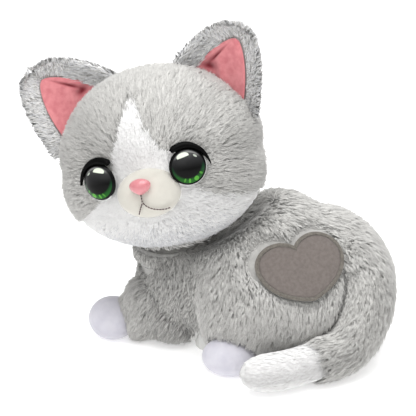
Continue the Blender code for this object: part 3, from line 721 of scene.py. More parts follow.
def grow_torso_pile(skin):
    """Pile over the torso, short beside the head, heart, tail and feet."""
    rng = generator(1)
    place, normal = scatter(skin, DENSITY["torso"], rng)
    in_tray = inside_outline(place[:, 0], place[:, 1], rounded_rectangle(
        (TRAY[0][0] - 1, TRAY[0][1] - 1), (TRAY[1][0] + 1, TRAY[1][1] + 1), 15))
    in_tray &= place[:, 2] < 33
    local = to_local(place, HEART)
    outward = local[:, 2] > -30
    on_heart = outward & inside_outline(local[:, 0], local[:, 1],
                                        heart_outline(HEART_HALF_WIDTH + 2.2))
    low = rests(place, normal)
    neck = (from_neck(place) < 24) & (place[:, 2] > 50)
    keep = ~(in_tray | on_heart | neck) & (~low | (rng.random(len(place)) < 0.35))
    keep &= tail_gap(place) > -8
    place, normal, low, local = place[keep], normal[keep], low[keep], local[keep]
    outward = outward[keep]
    length, rise = np.full(len(place), LONG_PILE), np.ones(len(place))
    ahead = (1 - smooth_step(place[:, 1], -40, -33)) * (1 - smooth_step(place[:, 2], 60, 80))
    length -= 3.0 * ahead
    room = in_head_room(place, PILE)
    rise[room < 1.22] = 0.9
    rise[room < 1.06] = 0.7
    length[room < 1.06] = 7.0
    under_head = (room < 1.15) & (from_neck(place) < 46)
    rise[under_head] = 0.5
    length[under_head] = 5.0
    length[low] = 2.0
    for grow, cap in ((9, 7.0), (5, 5.0)):
        near = inside_outline(local[:, 0], local[:, 1], heart_outline(HEART_HALF_WIDTH + grow))
        length[near & outward] = np.minimum(length[near & outward], cap)
    beside_tail = tail_gap(place)
    over_tail = tail_share(place, tail_points())[0] > 0.9
    near_tail = 3.0 + np.clip(beside_tail + 2, 0, 20) * 0.9
    length = np.where(over_tail, length, np.minimum(length, near_tail))
    feet = np.full(len(place), 1e9)
    for side in SIDES.values():
        feet = np.minimum(feet, np.linalg.norm((place - foot_place(side)) / FOOT[1], axis=1))
    length = np.where(feet < 1.35, np.minimum(length, 3.0), length)
    # Painted shade: the chest ahead of the haunches and the dish under the head take some of the
    # darker shade pile.
    shaded = smooth_step(-place[:, 1], 34, 42) * (1 - smooth_step(place[:, 2], 45, 85))
    shaded = np.maximum(0.6 * shaded, 0.35 * (room < 1.12))
    kind = np.where(rng.random(len(place)) < shaded, SHADE_KIND, GREY_KIND)
    # Painted shade: the strip along the tail's edge gets the dark crease pile.
    crease = (np.abs(beside_tail + 1.4) < 1.9) & (place[:, 2] > 20) & ~over_tail
    kind[crease] = CREASE_SHADE_KIND
    flow = body_flow(place, normal)
    for _ in range(3):
        tips = to_local(place + unit(flow) * length[:, None], HEART)
        over = outward & inside_outline(tips[:, 0], tips[:, 1],
                                        heart_outline(HEART_HALF_WIDTH + 4.9))
        length[over] *= 0.55
    keep = (feet > 0.97) & (length > 1.4)
    strands("torso_pile", place[keep], normal[keep], flow[keep], length[keep], "torso",
            kind[keep], rng, rise=rise[keep], gather=0.38, tuft=0.16)


# ---------------------------------------------------------------- limbs
def cut_by_lumps(obj, lumps, shrink):
    """Take the inside of the lumps, this far below their surface, out of a piece."""
    core = lump_skin(f"{obj.name}_core", lumps, shrink=shrink, smoothing=6)
    taken = obj.modifiers.new("taken", "BOOLEAN")
    taken.object = core
    taken.operation = "DIFFERENCE"
    apply_modifiers(obj)
    bpy.data.objects.remove(core)


def make_limbs():
    """The forelegs and the four paws."""
    for step, (name, side) in enumerate(SIDES.items()):
        paw_y = FOREPAW_Y[side]
        paw_at = (FOREPAW_AT[0] * side, paw_y, FOREPAW_AT[1])
        lumps = (((17 * side, paw_y + 36, 19), (17, 33, 18.5)),
                 ((19 * side, -57, 21), (19, 24, 21)),
                 ((16 * side, paw_y + 18, 17), (16.5, 22, 19)),
                 ((17 * side, paw_y + 30, 28), (18, 24, 22)))
        leg = lump_skin(f"{name}_foreleg_plush", lumps, shrink=3.6, voxel=2.6, smoothing=6)
        flatten_bottom(leg, 1.0)
        inflate(leg, 4, 2)
        cut_by_lumps(leg, TORSO_LUMPS, 6.0)
        leg.data.materials.append(GREY_CLOTH)
        dress(leg, "torso", "grey_plush", f"{name}_foreleg")

        rng = generator(10 + step)
        place, normal = scatter(leg, DENSITY["leg"], rng)
        paw = np.linalg.norm((place - paw_at) / FOREPAW_SIZE, axis=1) < 1
        low = rests(place, normal)
        keep = ~paw & (~low | (rng.random(len(place)) < 0.3)) & (torso_depth(place) > -9)
        place, normal, low = place[keep], normal[keep], low[keep]
        flow = np.tile((0.1 * side, -0.45, -0.85), (len(place), 1))
        to_paw = place[:, 1] - paw_y
        flow[:, 1] += 0.6 * (1 - smooth_step(to_paw, 8, 24))
        length = 3.5 + 5.0 * smooth_step(to_paw, 0, 24)
        length[low] = 2
        # Painted shade: towards the chest, most of the foreleg's pile is the darker shade pile.
        shaded = rng.random(len(place)) < 0.75 * smooth_step(place[:, 1], -84, -62)
        strands(f"{name}_foreleg_pile", place, normal, flow, length, "torso",
                np.where(shaded, SHADE_KIND, GREY_KIND), rng)

        stuffed_paw(f"{name}_forepaw", paw_at, FOREPAW_SIZE)
        stuffed_paw(f"{name}_hind_foot", foot_place(side), FOOT[1])


def torso_depth(points):
    """Below zero inside the torso's outer surface, about in millimetres."""
    best = np.full(len(points), 1e9)
    for centre, radii in TORSO_LUMPS:
        share = np.linalg.norm((points - centre) / radii, axis=1)
        best = np.minimum(best, (share - 1) * min(radii))
    return best


def foot_place(side):
    (x, y, z), _ = FOOT
    return (x * side, y, z)


def stuffed_paw(node, centre, radii):
    """A stuffed velboa paw, flattened where it rests."""
    paw = lump_skin(f"{node}_velboa", ((centre, radii),), shrink=0.2, voxel=2.2, smoothing=4)
    flatten_bottom(paw, 0.3)
    soften(paw, 3, subdivide=True)
    flatten_bottom(paw, 0.2)
    paw.data.materials.append(VELBOA)
    dress(paw, "torso", "white_velboa", node)


# ---------------------------------------------------------------- tail
def tail_points(steps=60):
    """The tail's centreline, smooth through its control points."""
    path = [Vector(p) for p in TAIL_PATH]
    path = [path[0] * 2 - path[1], *path, path[-1] * 2 - path[-2]]
    spans = len(path) - 3
    found = []
    for i in range(steps + 1):
        s = min(spans - 1e-6, spans * i / steps)
        k, t = int(s), s - int(s)
        a, b, c, d = path[k:k + 4]
        found.append(0.5 * (b * 2 + (c - a) * t + (a * 2 - b * 5 + c * 4 - d) * t * t
                            + (b * 3 - a - c * 3 + d) * t ** 3))
    return found


def make_tail():
    """The tail, grey with a white end, as one padded skin."""
    line = tail_points()
    bm = bmesh.new()
    for i, point in enumerate(line[:-4]):
        blunt = min(1, 0.86 + 0.14 * i / 3)
        radius = (tail_radius(i / len(line)) - 3.2) * blunt
        bmesh.ops.create_icosphere(bm, subdivisions=3, radius=radius,
                                   matrix=Matrix.Translation(point))
    bmesh.ops.scale(bm, vec=(MM, MM, MM), verts=bm.verts)
    tail = add_object("tail_plush", mesh_from(bm, "tail_plush"))
    remesh(tail, 2.8, 8)
    inflate(tail, 4, 2)
    flatten_bottom(tail, 1.2)
    tail.data.materials.append(GREY_CLOTH)
    tail.data.materials.append(WHITE_CLOTH)
    points = coords(tail)
    share = tail_share(points, line)[0]
    for polygon in tail.data.polygons:
        if share[polygon.vertices[0]] < TAIL_TIP_SHARE:
            polygon.material_index = 1
    dress(tail, "torso", "grey_plush", "tail", "tail_tip")
    grow_tail_pile(tail, line)


def grow_tail_pile(tail, line):
    """Pile along the tail, short on its white end and close to the torso."""
    rng = generator(20)
    place, normal = scatter(tail, DENSITY["tail"], rng)
    share, along = tail_share(place, line)
    white = share + 0.015 * rng.normal(size=len(place)) < TAIL_TIP_SHARE
    low = rests(place, normal)
    depth = torso_depth(place)
    keep = (~low | (rng.random(len(place)) < 0.3)) & ((depth > -6) | (share < 0.5))
    place, normal, white, along = place[keep], normal[keep], white[keep], along[keep]
    low, depth, share = low[keep], depth[keep], share[keep]
    length = np.where(white, 3.4, LONG_PILE)
    length = np.where(~white & (share < 0.9), np.minimum(length, 3.5 + np.clip(depth, 0, 9)),
                      length)
    length[low] = 2
    by_heart = to_local(place, HEART)
    length[inside_outline(by_heart[:, 0], by_heart[:, 1], heart_outline(HEART_HALF_WIDTH + 9))] = 2
    kind = np.where(white, WHITE_KIND, GREY_KIND)
    strands("tail_pile", place, normal, -along, length, "torso", kind, rng,
            rise=np.where(white, 0.6, 1.0), gather=0.38, tuft=0.16)


def tail_share(points, line):
    """How far along the tail each point is, and the tail's direction there."""
    centres = np.array([tuple(p) for p in line])
    nearest = np.zeros(len(points), int)
    best = np.full(len(points), 1e18)
    for i, centre in enumerate(centres):
        distance = ((points - centre) ** 2).sum(axis=1)
        closer = distance < best
        best[closer], nearest[closer] = distance[closer], i
    along = unit(np.gradient(centres, axis=0))
    return nearest / (len(line) - 1), along[nearest]


# ---------------------------------------------------------------- head
def blaze_mask(local, ragged):
    """Where the face is white: the blaze up the forehead and the lower face."""
    x, z = local[:, 0] + ragged, local[:, 2] + ragged
    front = local[:, 1] < 12
    left = np.interp(z, (-8, 7, 13, 22, 35, 38), (-22, -19, -15.5, -12.5, -8, -5))
    right = np.interp(z, (-8, 3, 6, 12, 20, 35, 38), (22, 17, 11, 8, 4, 0, -2))
    blaze = (x > left) & (x < right) & (z < 38) & (local[:, 1] < -25)
    line = np.interp(x, (-66, -47, -34, -26, 24, 28, 36, 49, 65),
                     (-37, -30, -23, -10, -10, -19, -24, -27, -31))
    lower = (z < line) & front & (z > -58)
    return blaze | lower


def head_flow(local):
    """The nap runs away from the muzzle, over the crown and down the cheeks."""
    flow = unit(local - np.array((0, -50, -18)))
    flow[:, 2] -= 0.25 * np.clip(np.abs(local[:, 0]) / 60, 0, 1)
    return flow


def make_head():
    """The head's padded skin, grey with a white face."""
    skin = lump_skin("head_plush", HEAD_FORM, HEAD, smoothing=8)
    inflate(skin, 4, 2)
    skin.data.materials.append(GREY_CLOTH)
    skin.data.materials.append(WHITE_CLOTH)
    local = to_local(coords(skin), HEAD)
    white = blaze_mask(local, np.zeros(len(local)))
    for polygon in skin.data.polygons:
        if white[polygon.vertices[0]]:
            polygon.material_index = 1
    dress(skin, "head", "grey_plush", "head_skin")
    grow_head_pile(skin)


def grow_head_pile(skin):
    """Pile over the head, short round the eyes and the muzzle."""
    rng = generator(30)
    place, normal = scatter(skin, DENSITY["head"], rng)
    local = to_local(place, HEAD)
    eye_gap = np.full(len(place), 1e3)
    for side in SIDES.values():
        across, high = EYE_PRINTS[side]
        centre = np.array((across * side, EYE_DEPTH, high))
        eye_gap = np.minimum(eye_gap, np.linalg.norm(local - centre, axis=1))
    centre, radii = MUZZLE
    muzzle = np.linalg.norm((local - centre) / (np.array(radii) - 1.9), axis=1)
    keep = (eye_gap > DOME_RADIUS - 0.9) & (muzzle > 1)
    place, normal, local, eye_gap = place[keep], normal[keep], local[keep], eye_gap[keep]
    muzzle = muzzle[keep]
    ragged = rng.normal(size=len(place)) * 0.9
    white = blaze_mask(local, ragged)
    length = np.where(white, 4.2, LONG_PILE)
    length = np.where(white & (local[:, 2] < -32), 5.5, length)
    length = np.minimum(length, 3.0 + (eye_gap - EYE_RADIUS) * 0.45)
    length = np.where(muzzle < 1.25, np.minimum(length, 3.5), length)
    length = np.maximum(length, 2.2)
    under = local[:, 2] < -58
    length[under] = np.minimum(length[under], 4.0)
    flow = turn_vectors(head_flow(local), HEAD)
    kind = np.where(white, WHITE_KIND, GREY_KIND)
    # Painted shade: towards the bottom of the head, more of the white pile is the dimmer chin pile.
    chin = rng.random(len(place)) < smooth_step(-local[:, 2], 34, 58)
    kind[chin & white] = CHIN_KIND
    strands("head_pile", place, normal, flow, length, "head", kind, rng,
            rise=np.where(white, 0.65, 0.9), gather=0.30, tuft=0.14)


def make_muzzle():
    """The velboa snout."""
    snout = lump_skin("muzzle_velboa", (MUZZLE,), HEAD, shrink=1.5, voxel=1.6, smoothing=3)
    soften(snout, 0, subdivide=True)
    snout.data.materials.append(CREAM)
    dress(snout, "head", "white_velboa", "muzzle")


def make_nose():
    """The glossy nose, wider above than below."""
    bm = bmesh.new()
    bmesh.ops.create_icosphere(bm, subdivisions=5, radius=1)
    for vert in bm.verts:
        p = vert.co
        wide = 1 + 0.32 * p.z - 0.12 * p.z * p.z
        vert.co = Vector((p.x * 6.5 * wide, p.y * 4.4, p.z * 5.0 - 0.5 * p.x * p.x))
    bm.transform(Matrix.Scale(MM, 4) @ HEAD @ Matrix.Translation(NOSE_PLACE))
    mesh = mesh_from(bm, "nose_gloss")
    nose = add_object("nose_gloss", mesh, nose_material())
    shade_smooth(mesh)
    dress(nose, "head", "nose_gloss", "nose")


def make_mouth():
    """The stitched mouth: a short line down from the nose that splits in two."""
    down = [(-1.8, -18.0 - 1.05 * i) for i in range(6)]
    long = [(-1.6, -23.5), (-0.2, -25.4), (1.8, -27.2), (4.6, -28.6), (7.8, -29.5), (11.0, -29.8),
            (13.6, -29.4)]
    short = [(-2.0 - 1.05 * i, -23.7 - 1.8 * i) for i in range(5)]
    stitches = []
    for run in (down, long, short):
        stitches += stitched_run([on_muzzle(x, z) for x, z in run], 1.9)
    mouth = tube_piece("mouth_thread", stitches, 0.42, MOUTH_THREAD)
    dress(mouth, "head", "dark_thread", "mouth_stitch")


def nose_material():
    """Glossy moulded pink."""
    mat, _ = new_material("nose_gloss", (0.56, 0.20, 0.22), 0.34, Coat_Weight=0.6,
                          Coat_Roughness=0.16)
    mottled(mat, (0.54, 0.18, 0.20), (0.61, 0.22, 0.24), 180)
    add_bump(mat, noise(mat, 900, 2), 0.08, 0.0003)
    return mat


def on_muzzle(x, z):
    """A point on the snout's surface, from the head's own x and z."""
    (cx, cy, cz), (a, b, c) = MUZZLE
    rest = 1 - ((x - cx) / a) ** 2 - ((z - cz) / c) ** 2
    y = cy - b * math.sqrt(max(rest, 0))
    return HEAD @ Vector((x, y + 0.1, z))


def stitched_run(points, pitch):
    """A line of thread as separate stitches, each dipping in at its ends."""
    lengths = [0.0]
    for a, b in zip(points, points[1:]):
        lengths.append(lengths[-1] + (b - a).length)
    count = max(1, round(lengths[-1] / pitch))
    pitch = lengths[-1] / count

    def at(s):
        s = min(max(s, 0), lengths[-1])
        for i in range(len(points) - 1):
            if s <= lengths[i + 1]:
                share = (s - lengths[i]) / max(1e-9, lengths[i + 1] - lengths[i])
                return points[i].lerp(points[i + 1], share)
        return points[-1]

    return [[at((i + 0.06 + 0.88 * k / 5) * pitch) for k in range(6)] for i in range(count)]


def tube_piece(name, runs, radius, material, sides=8):
    """Short tubes with tapered ends along runs of points."""
    points, faces = [], []
    for run in runs:
        start = len(points)
        last = len(run) - 1
        for i, p in enumerate(run):
            along = (run[min(i + 1, last)] - run[max(i - 1, 0)]).normalized()
            across = along.orthogonal().normalized()
            other = along.cross(across)
            size = radius * (0.55 if i in (0, last) else 1.0)
            for k in range(sides):
                a = math.tau * k / sides
                points.append(p + (across * math.cos(a) + other * math.sin(a)) * size)
        for i in range(last):
            for k in range(sides):
                n = (k + 1) % sides
                a = start + i * sides
                faces.append((a + k, a + n, a + sides + n, a + sides + k))
        faces.append(tuple(start + k for k in range(sides - 1, -1, -1)))
        faces.append(tuple(start + last * sides + k for k in range(sides)))
    return add_object(name, mesh_of(name, points, faces), material)


# ---------------------------------------------------------------- eyes
def eye_frame(side):
    """An eye's own axes: Z out of the face, X to the kitten's left."""
    x, z = EYE_PRINTS[side]
    return (HEAD @ Matrix.Translation((x * side, EYE_DEPTH, z))
            @ Matrix.Rotation(math.radians(EYE_TURN * side), 4, 'Z')
            @ Matrix.Rotation(math.radians(90), 4, 'X'))


def maths(mat, operation, a, b=None, c=None):
    """A Math node's output; a, b and c are sockets or numbers."""
    node = mat.node_tree.nodes.new("ShaderNodeMath")
    node.operation = operation
    for socket, value in zip(node.inputs, (a, b, c)):
        if value is None:
            continue
        if isinstance(value, (int, float)):
            socket.default_value = value
        else:
            mat.node_tree.links.new(value, socket)
    return node.outputs[0]


def soft_step(mat, value, low, high):
    """A smooth step from 0 to 1 between two values."""
    node = mat.node_tree.nodes.new("ShaderNodeMapRange")
    node.interpolation_type = "SMOOTHSTEP"
    node.inputs["From Min"].default_value = low
    node.inputs["From Max"].default_value = high
    mat.node_tree.links.new(value, node.inputs["Value"])
    return node.outputs["Result"]


def soft_drop(mat, value, low, high):
    """A smooth step from 1 to 0 between two values."""
    return maths(mat, "SUBTRACT", 1.0, soft_step(mat, value, low, high))


def both(mat, a, b):
    """The product of two factors."""
    return maths(mat, "MULTIPLY", a, b)


def distance(mat, dx, dy):
    """How long the step dx, dy is."""
    return maths(mat, "SQRT", maths(mat, "ADD", both(mat, dx, dx), both(mat, dy, dy)))


def spot(mat, x, y, place, size, turn, edge=0.25):
    """1 inside a turned oval spot of the print, 0 outside."""
    c, s = math.cos(math.radians(turn)), math.sin(math.radians(turn))
    dx = maths(mat, "SUBTRACT", x, place[0])
    dy = maths(mat, "SUBTRACT", y, place[1])
    u = maths(mat, "ADD", both(mat, dx, c / size[0]), both(mat, dy, s / size[0]))
    v = maths(mat, "ADD", both(mat, dx, -s / size[1]), both(mat, dy, c / size[1]))
    square = maths(mat, "ADD", both(mat, u, u), both(mat, v, v))
    return soft_drop(mat, square, 1 - edge, 1 + edge)


def eye_material(side):
    """The printed eye: dark pupil, green crescent with rays, and printed highlights.

    The print runs from -1 to 1 across the outline's outer edge, with x away from the nose.
    """
    mat, shader = new_material(f"eye_print_{'left' if side > 0 else 'right'}", (0, 0, 0), 0.3,
                               Coat_Weight=0.06, Coat_Roughness=0.1, Specular_IOR_Level=0.08)
    tree = mat.node_tree
    attribute = tree.nodes.new("ShaderNodeAttribute")
    attribute.attribute_name = "print"
    split = tree.nodes.new("ShaderNodeSeparateXYZ")
    tree.links.new(attribute.outputs["Vector"], split.inputs[0])
    x, y = split.outputs["X"], split.outputs["Y"]
    radius = distance(mat, x, y)
    pupil = ramp(mat, maths(mat, "ADD", both(mat, y, 0.5), 0.5),
                 ((0.0, (0.001, 0.001, 0.001)), (0.45, (0.002, 0.002, 0.002)),
                  (0.74, (0.026, 0.026, 0.027)), (0.95, (0.065, 0.065, 0.065))))
    # The crescent lies outside a circle moved up and inwards.
    lens = distance(mat, maths(mat, "ADD", x, 0.04), maths(mat, "SUBTRACT", y, 0.17))
    crescent = both(mat, soft_step(mat, lens, 0.74, 0.90), soft_drop(mat, y, -0.1, 0.25))
    green = ramp(mat, soft_step(mat, y, -0.95, 0.25),
                 ((0.0, (0.012, 0.105, 0.010)), (0.6, (0.006, 0.050, 0.012)),
                  (1.0, (0.005, 0.030, 0.014))))
    colour = mix(mat, crescent, pupil, green)
    for angle, wide, tall, bright in ((-34, 0.060, 0.105, 0.75), (-63, 0.135, 0.130, 1.0),
                                      (-93, 0.065, 0.125, 0.9), (-113, 0.050, 0.110, 0.7)):
        a = math.radians(angle)
        place = (RAY_RADIUS * math.cos(a), RAY_RADIUS * math.sin(a))
        ray = spot(mat, x, y, place, (tall, wide), angle, 0.30)
        colour = mix(mat, ray, colour, tuple(bright * c for c in (0.085, 0.34, 0.04)))
    # A grey glow lies inside the upper edge, and the black outline goes all round.
    rim = both(mat, soft_step(mat, radius, 0.76, 0.81), soft_drop(mat, radius, 0.85, 0.89))
    rim = both(mat, rim, soft_step(mat, y, 0.42, 0.7))
    colour = mix(mat, both(mat, rim, 0.8), colour, (0.20, 0.20, 0.195))
    colour = mix(mat, soft_step(mat, radius, 0.885, 0.915), colour, (0.002, 0.002, 0.002))
    # The large highlight is an oval with its lower side cut off straight.
    big = spot(mat, x, y, (-0.22, 0.62), (0.34, 0.19), 12, 0.10)
    cut = soft_step(mat, maths(mat, "ADD", both(mat, x, -0.22), y), 0.60, 0.63)
    colour = mix(mat, both(mat, big, cut), colour, (0.66, 0.72, 0.60))
    small = spot(mat, x, y, (0.45, 0.55), (0.12, 0.05), -38, 0.25)
    colour = mix(mat, small, colour, (0.42, 0.46, 0.40))
    # Past the outline, the fabric under the print shows white below and outside.
    below = maths(mat, "SUBTRACT", both(mat, x, 0.75), y)
    bare = both(mat, soft_step(mat, radius, 1.0, 1.02), soft_step(mat, below, 0.25, 0.45))
    colour = mix(mat, bare, colour, (0.80, 0.80, 0.79))
    tree.links.new(colour, shader.inputs["Base Color"])
    add_bump(mat, noise(mat, 260, 1), 0.03, 0.0002)
    return mat


def lathe(name, profile, placing, sides=96, print_scale=None, mirror=1, material=None):
    """A turned shape about local Z. The last profile point may lie on the axis."""
    points, faces, flat = [], [], []
    for r, z in profile:
        for k in range(sides):
            a = math.tau * k / sides
            flat.append((r * math.cos(a), r * math.sin(a)))
            points.append(placing @ Vector((r * math.cos(a), r * math.sin(a), z)))
    for i in range(len(profile) - 1):
        for k in range(sides):
            n = (k + 1) % sides
            faces.append((i * sides + k, i * sides + n, (i + 1) * sides + n, (i + 1) * sides + k))
    faces.append(tuple(range(sides - 1, -1, -1)))
    faces.append(tuple((len(profile) - 1) * sides + k for k in range(sides)))
    mesh = mesh_of(name, points, faces)
    if print_scale:
        attribute = mesh.attributes.new("print", "FLOAT_VECTOR", "POINT")
        values = [(x * mirror / print_scale, y / print_scale, 0) for x, y in flat]
        attribute.data.foreach_set("vector", np.array(values, np.float32).ravel())
    return add_object(name, mesh, material)


def lash_outline(share):
    """The lash's inner and outer radius and its angle, along it from the inner corner."""
    angle = 130 - 134 * share
    outer = np.interp(share, (0, 0.05, 0.30, 0.48, 0.68, 0.84, 1.0),
                      (1.22, 1.29, 1.26, 1.20, 1.16, 1.15, 1.18))
    inner = np.interp(share, (0, 0.1, 0.2, 0.6, 0.8, 1.0), (1.04, 0.94, 0.91, 0.92, 0.96, 1.15))
    return angle, inner * EYE_RADIUS, outer * EYE_RADIUS


def make_eyes():
    """Both printed eyes and their lashes."""
    lash_mat, _ = new_material("lash_vinyl", (0.001, 0.001, 0.001), 0.5,
                               Specular_IOR_Level=0.06)
    rough_noise(lash_mat, 500, 0.38, 0.55)
    add_bump(lash_mat, noise(lash_mat, 1200, 2), 0.1, 0.0002)
    for name, side in SIDES.items():
        make_dome(name, side, eye_frame(side))
        make_lash(name, side, eye_frame(side), lash_mat)


def make_dome(name, side, placing):
    """The glossy dome that carries the print."""
    bulge, base, rings = 5.2, 2.0, 26
    profile = [(DOME_RADIUS - 0.5, base - 0.6), (DOME_RADIUS, base - 0.2)]
    sphere = (DOME_RADIUS ** 2 + bulge ** 2) / (2 * bulge)
    for i in range(rings + 1):
        r = DOME_RADIUS * math.cos(math.pi / 2 * i / rings)
        z = base + bulge - sphere + math.sqrt(sphere ** 2 - r * r)
        profile.append((max(r, 0.05), z + 0.2))
    dome = lathe(f"{name}_eye_dome", profile, placing, 96, PRINT_RADIUS, side, eye_material(side))
    dress(dome, "head", "eye_clear", f"{name}_eye_lens", f"{name}_eye_disc")


def make_lash(name, side, placing, material):
    """The black lash: a crowned strip bent over the top of the eye."""
    steps, across = 56, 7
    points, faces = [], []
    for i in range(steps + 1):
        angle, inner, outer = lash_outline(i / steps)
        a = math.radians(angle if side > 0 else 180 - angle)
        loop = []
        for k in range(across + 1):
            share = k / across
            r = inner + (outer - inner) * share
            crown = math.sin(math.pi * share) * min(1.2, (outer - inner) * 0.45)
            loop.append((r, 3.0 - 0.12 * (r - EYE_RADIUS) + crown))
        loop += [(r, 0.8 - 0.10 * (r - EYE_RADIUS)) for r in (outer, inner)]
        points += [placing @ Vector((r * math.cos(a), r * math.sin(a), z)) for r, z in loop]
    ring = across + 3
    for i in range(steps):
        for k in range(ring):
            n = (k + 1) % ring
            quad = (i * ring + k, i * ring + n, (i + 1) * ring + n, (i + 1) * ring + k)
            faces.append(quad if side < 0 else quad[::-1])
    ends = (tuple(range(ring)), tuple(range(steps * ring + ring - 1, steps * ring - 1, -1)))
    faces += [e[::-1] if side < 0 else e for e in ends]
    lash = add_object(f"{name}_lash_vinyl", mesh_of("lash", points, faces), material)
    dress(lash, "head", "black_plastic", f"{name}_lash")


# ---------------------------------------------------------------- ears
def ear_frame(side, x, z, lean):
    """An ear's own axes: Z from its root to its tip, Y to the back of the head."""
    return (HEAD @ Matrix.Translation((x * side, 2, z))
            @ Matrix.Rotation(math.radians(lean * side), 4, 'Y')
            @ Matrix.Rotation(math.radians(-14 * side), 4, 'Z'))


def ear_width(v):
    """Half the ear's width at a height, from 0 at its root to 1 at its tip."""
    return EAR_SIZE[0] * np.sqrt(np.clip(1 - v ** 3, 0, 1)) * (1 - 0.36 * v) + 1.5


def ear_point(u, v, lift, side):
    """A point of the cupped ear sheet; u runs across it and v from its root to its tip."""
    cup = 13 * (1 - u * u) * (1 - 0.55 * v)
    across = u * ear_width(v) + EAR_SKEW * v * v
    return Vector((across * side, cup - lift - 6 * v, v * EAR_SIZE[1] * 1.02 - EAR_ROOT))


def shell_cut(u, v):
    """The whole ear."""
    return u, v


def lining_share(v):
    """The lining's width as a share of the ear's, from 0 at its root to 1 at its tip."""
    return LINING_WIDTH * np.sqrt(np.clip(1 - v ** 3.2, 0, 1)) * (1 - 0.10 * v)


def lining_cut(u, v):
    """The pink panel: a leaf set well inside the ear's edge."""
    return u * lining_share(v) + LINING_SHIFT, LINING_SPAN[0] + LINING_SPAN[1] * v


def ear_sheet(name, placing, side, cut, lift, thickness, fold):
    """A closed sheet over the part of the ear that cut(u, v) gives, with folds added."""
    points, faces = [], []
    rows = columns = EAR_GRID
    for front in (0, 1):
        for i in range(rows + 1):
            for j in range(columns + 1):
                u, v = -1 + 2 * j / columns, i / rows
                offset = thickness / 2 * (1 if front else -1) * edge_round(u, v)
                extra = fold(u, v) if fold else 0
                across, high = cut(u, v)
                points.append(placing @ ear_point(across, high, lift + extra + offset, side))
    per = (rows + 1) * (columns + 1)

    def at(front, i, j):
        return front * per + i * (columns + 1) + j

    for i in range(rows):
        for j in range(columns):
            quad = (at(0, i, j), at(0, i, j + 1), at(0, i + 1, j + 1), at(0, i + 1, j))
            other = (at(1, i, j), at(1, i + 1, j), at(1, i + 1, j + 1), at(1, i, j + 1))
            faces += [quad if side < 0 else quad[::-1], other if side < 0 else other[::-1]]
    rim = ([(0, j) for j in range(columns)] + [(i, columns) for i in range(rows)]
           + [(rows, j) for j in range(columns, 0, -1)] + [(i, 0) for i in range(rows, 0, -1)])
    for (i1, j1), (i2, j2) in zip(rim, rim[1:] + rim[:1]):
        quad = (at(0, i1, j1), at(1, i1, j1), at(1, i2, j2), at(0, i2, j2))
        faces.append(quad if side < 0 else quad[::-1])
    sheet = add_object(name, mesh_of(name, points, faces))
    fix_normals(sheet)
    return sheet


def edge_round(u, v):
    """Thinner towards the sheet's edge."""
    edge = max(abs(u), v)
    return math.sqrt(max(0.04, 1 - max(0, (edge - 0.82) / 0.18) ** 2))


def lining_fold(u, v):
    """Soft folds of the pink panel, gathered at its inner lower corner; inner is u < 0."""
    crossing = (u * 0.55 + v * 0.85 - 0.30) / 0.11
    ridge = 1.8 * math.exp(-crossing ** 2) * (1 - abs(u))
    pad = 1.6 * (1 - u * u) * v
    return ridge + pad - 1.6 * lining_tuck(u, v)


def lining_tuck(u, v):
    """Where the panel is tucked in, from 0 to 1: two short creases at its inner edge."""
    upper = math.exp(-((u + 0.62 - 0.6 * (v - 0.6)) / 0.09) ** 2 - ((v - 0.64) / 0.16) ** 2)
    lower = math.exp(-((u + 0.60) / 0.22) ** 2 - ((v - 0.44) / 0.055) ** 2)
    return min(1, upper + lower)


def make_ears():
    """The plush ears and their pink linings."""
    for step, (name, (side, x, z, lean)) in enumerate(EARS.items()):
        placing = ear_frame(side, x, z, lean)
        shell = ear_sheet(f"{name}_ear_plush", placing, side, shell_cut, 0, 3.0, None)
        shell.data.materials.append(GREY_CLOTH)
        dress(shell, "head", "grey_plush", f"{name}_ear")

        lining = ear_sheet(f"{name}_ear_velour", placing, side, lining_cut, 3.4, 1.4, lining_fold)
        lining.data.materials.append(PINK)
        # The tuck attribute carries the painted shade of the folds to the lining's material.
        tuck = [lining_tuck(-1 + 2 * j / EAR_GRID, i / EAR_GRID)
                for _ in range(2) for i in range(EAR_GRID + 1) for j in range(EAR_GRID + 1)]
        shade = lining.data.attributes.new("tuck", "FLOAT", "POINT")
        shade.data.foreach_set("value", tuck)
        dress(lining, "head", "pink_lining", f"{name}_ear_lining")
        grow_ear_pile(name, side, placing, shell, generator(40 + step))


def grow_ear_pile(name, side, placing, shell, rng):
    """Pile over the back of an ear and over the rim round its lining."""
    place, normal = scatter(shell, DENSITY["ear"], rng)
    local = to_local(place, placing)
    facing = turn_vectors(normal, placing.inverted())
    v = np.clip((local[:, 2] + EAR_ROOT) / (EAR_SIZE[1] * 1.02), 0, 1)
    u = (local[:, 0] * side - EAR_SKEW * v * v) / ear_width(v)
    front = facing[:, 1] < 0
    pink = lining_share(np.clip((v - LINING_SPAN[0]) / LINING_SPAN[1], 0, 1))
    on_pink = front & (np.abs(u - LINING_SHIFT) < pink) & (v < sum(LINING_SPAN))
    keep = ~on_pink & (v > 0.01)
    place, normal, u, v, front = place[keep], normal[keep], u[keep], v[keep], front[keep]
    pink = pink[keep]
    flow_local = np.stack([np.sign(u) * side * 0.8, np.zeros(len(u)), 0.25 + v], axis=1)
    inner_tuft = front & (u < -0.5) & (v < 0.66)
    flow_local[inner_tuft] = (0.55 * side, -0.2, 0.7)
    flow = turn_vectors(flow_local, placing)
    length = np.where(front, 5.5, 6.0)
    length[front & (np.abs(u) - pink < 0.1)] = 4.0
    length[inner_tuft] = 7.5
    # Painted light: the ear's pile mixes in the pale chin pile all over and the white pile on its
    # front, lighter than the head's grey, against the shade its short strands cast on each other.
    pick = rng.random(len(place))
    kind = np.where(pick < 0.3, CHIN_KIND, GREY_KIND)
    kind[front & (pick > 0.55)] = WHITE_KIND
    strands(f"{name}_ear_pile", place, normal, flow, length, "head", kind, rng,
            rise=0.6, gather=0.35)


# ---------------------------------------------------------------- heart
def make_heart():
    """The felt heart and its satin-stitched border, on the button under the flank."""
    outline = heart_outline(HEART_HALF_WIDTH + 0.8, 96)
    patch, border = make_felt(outline), make_border()
    outline_area(outline) * MM ** 2


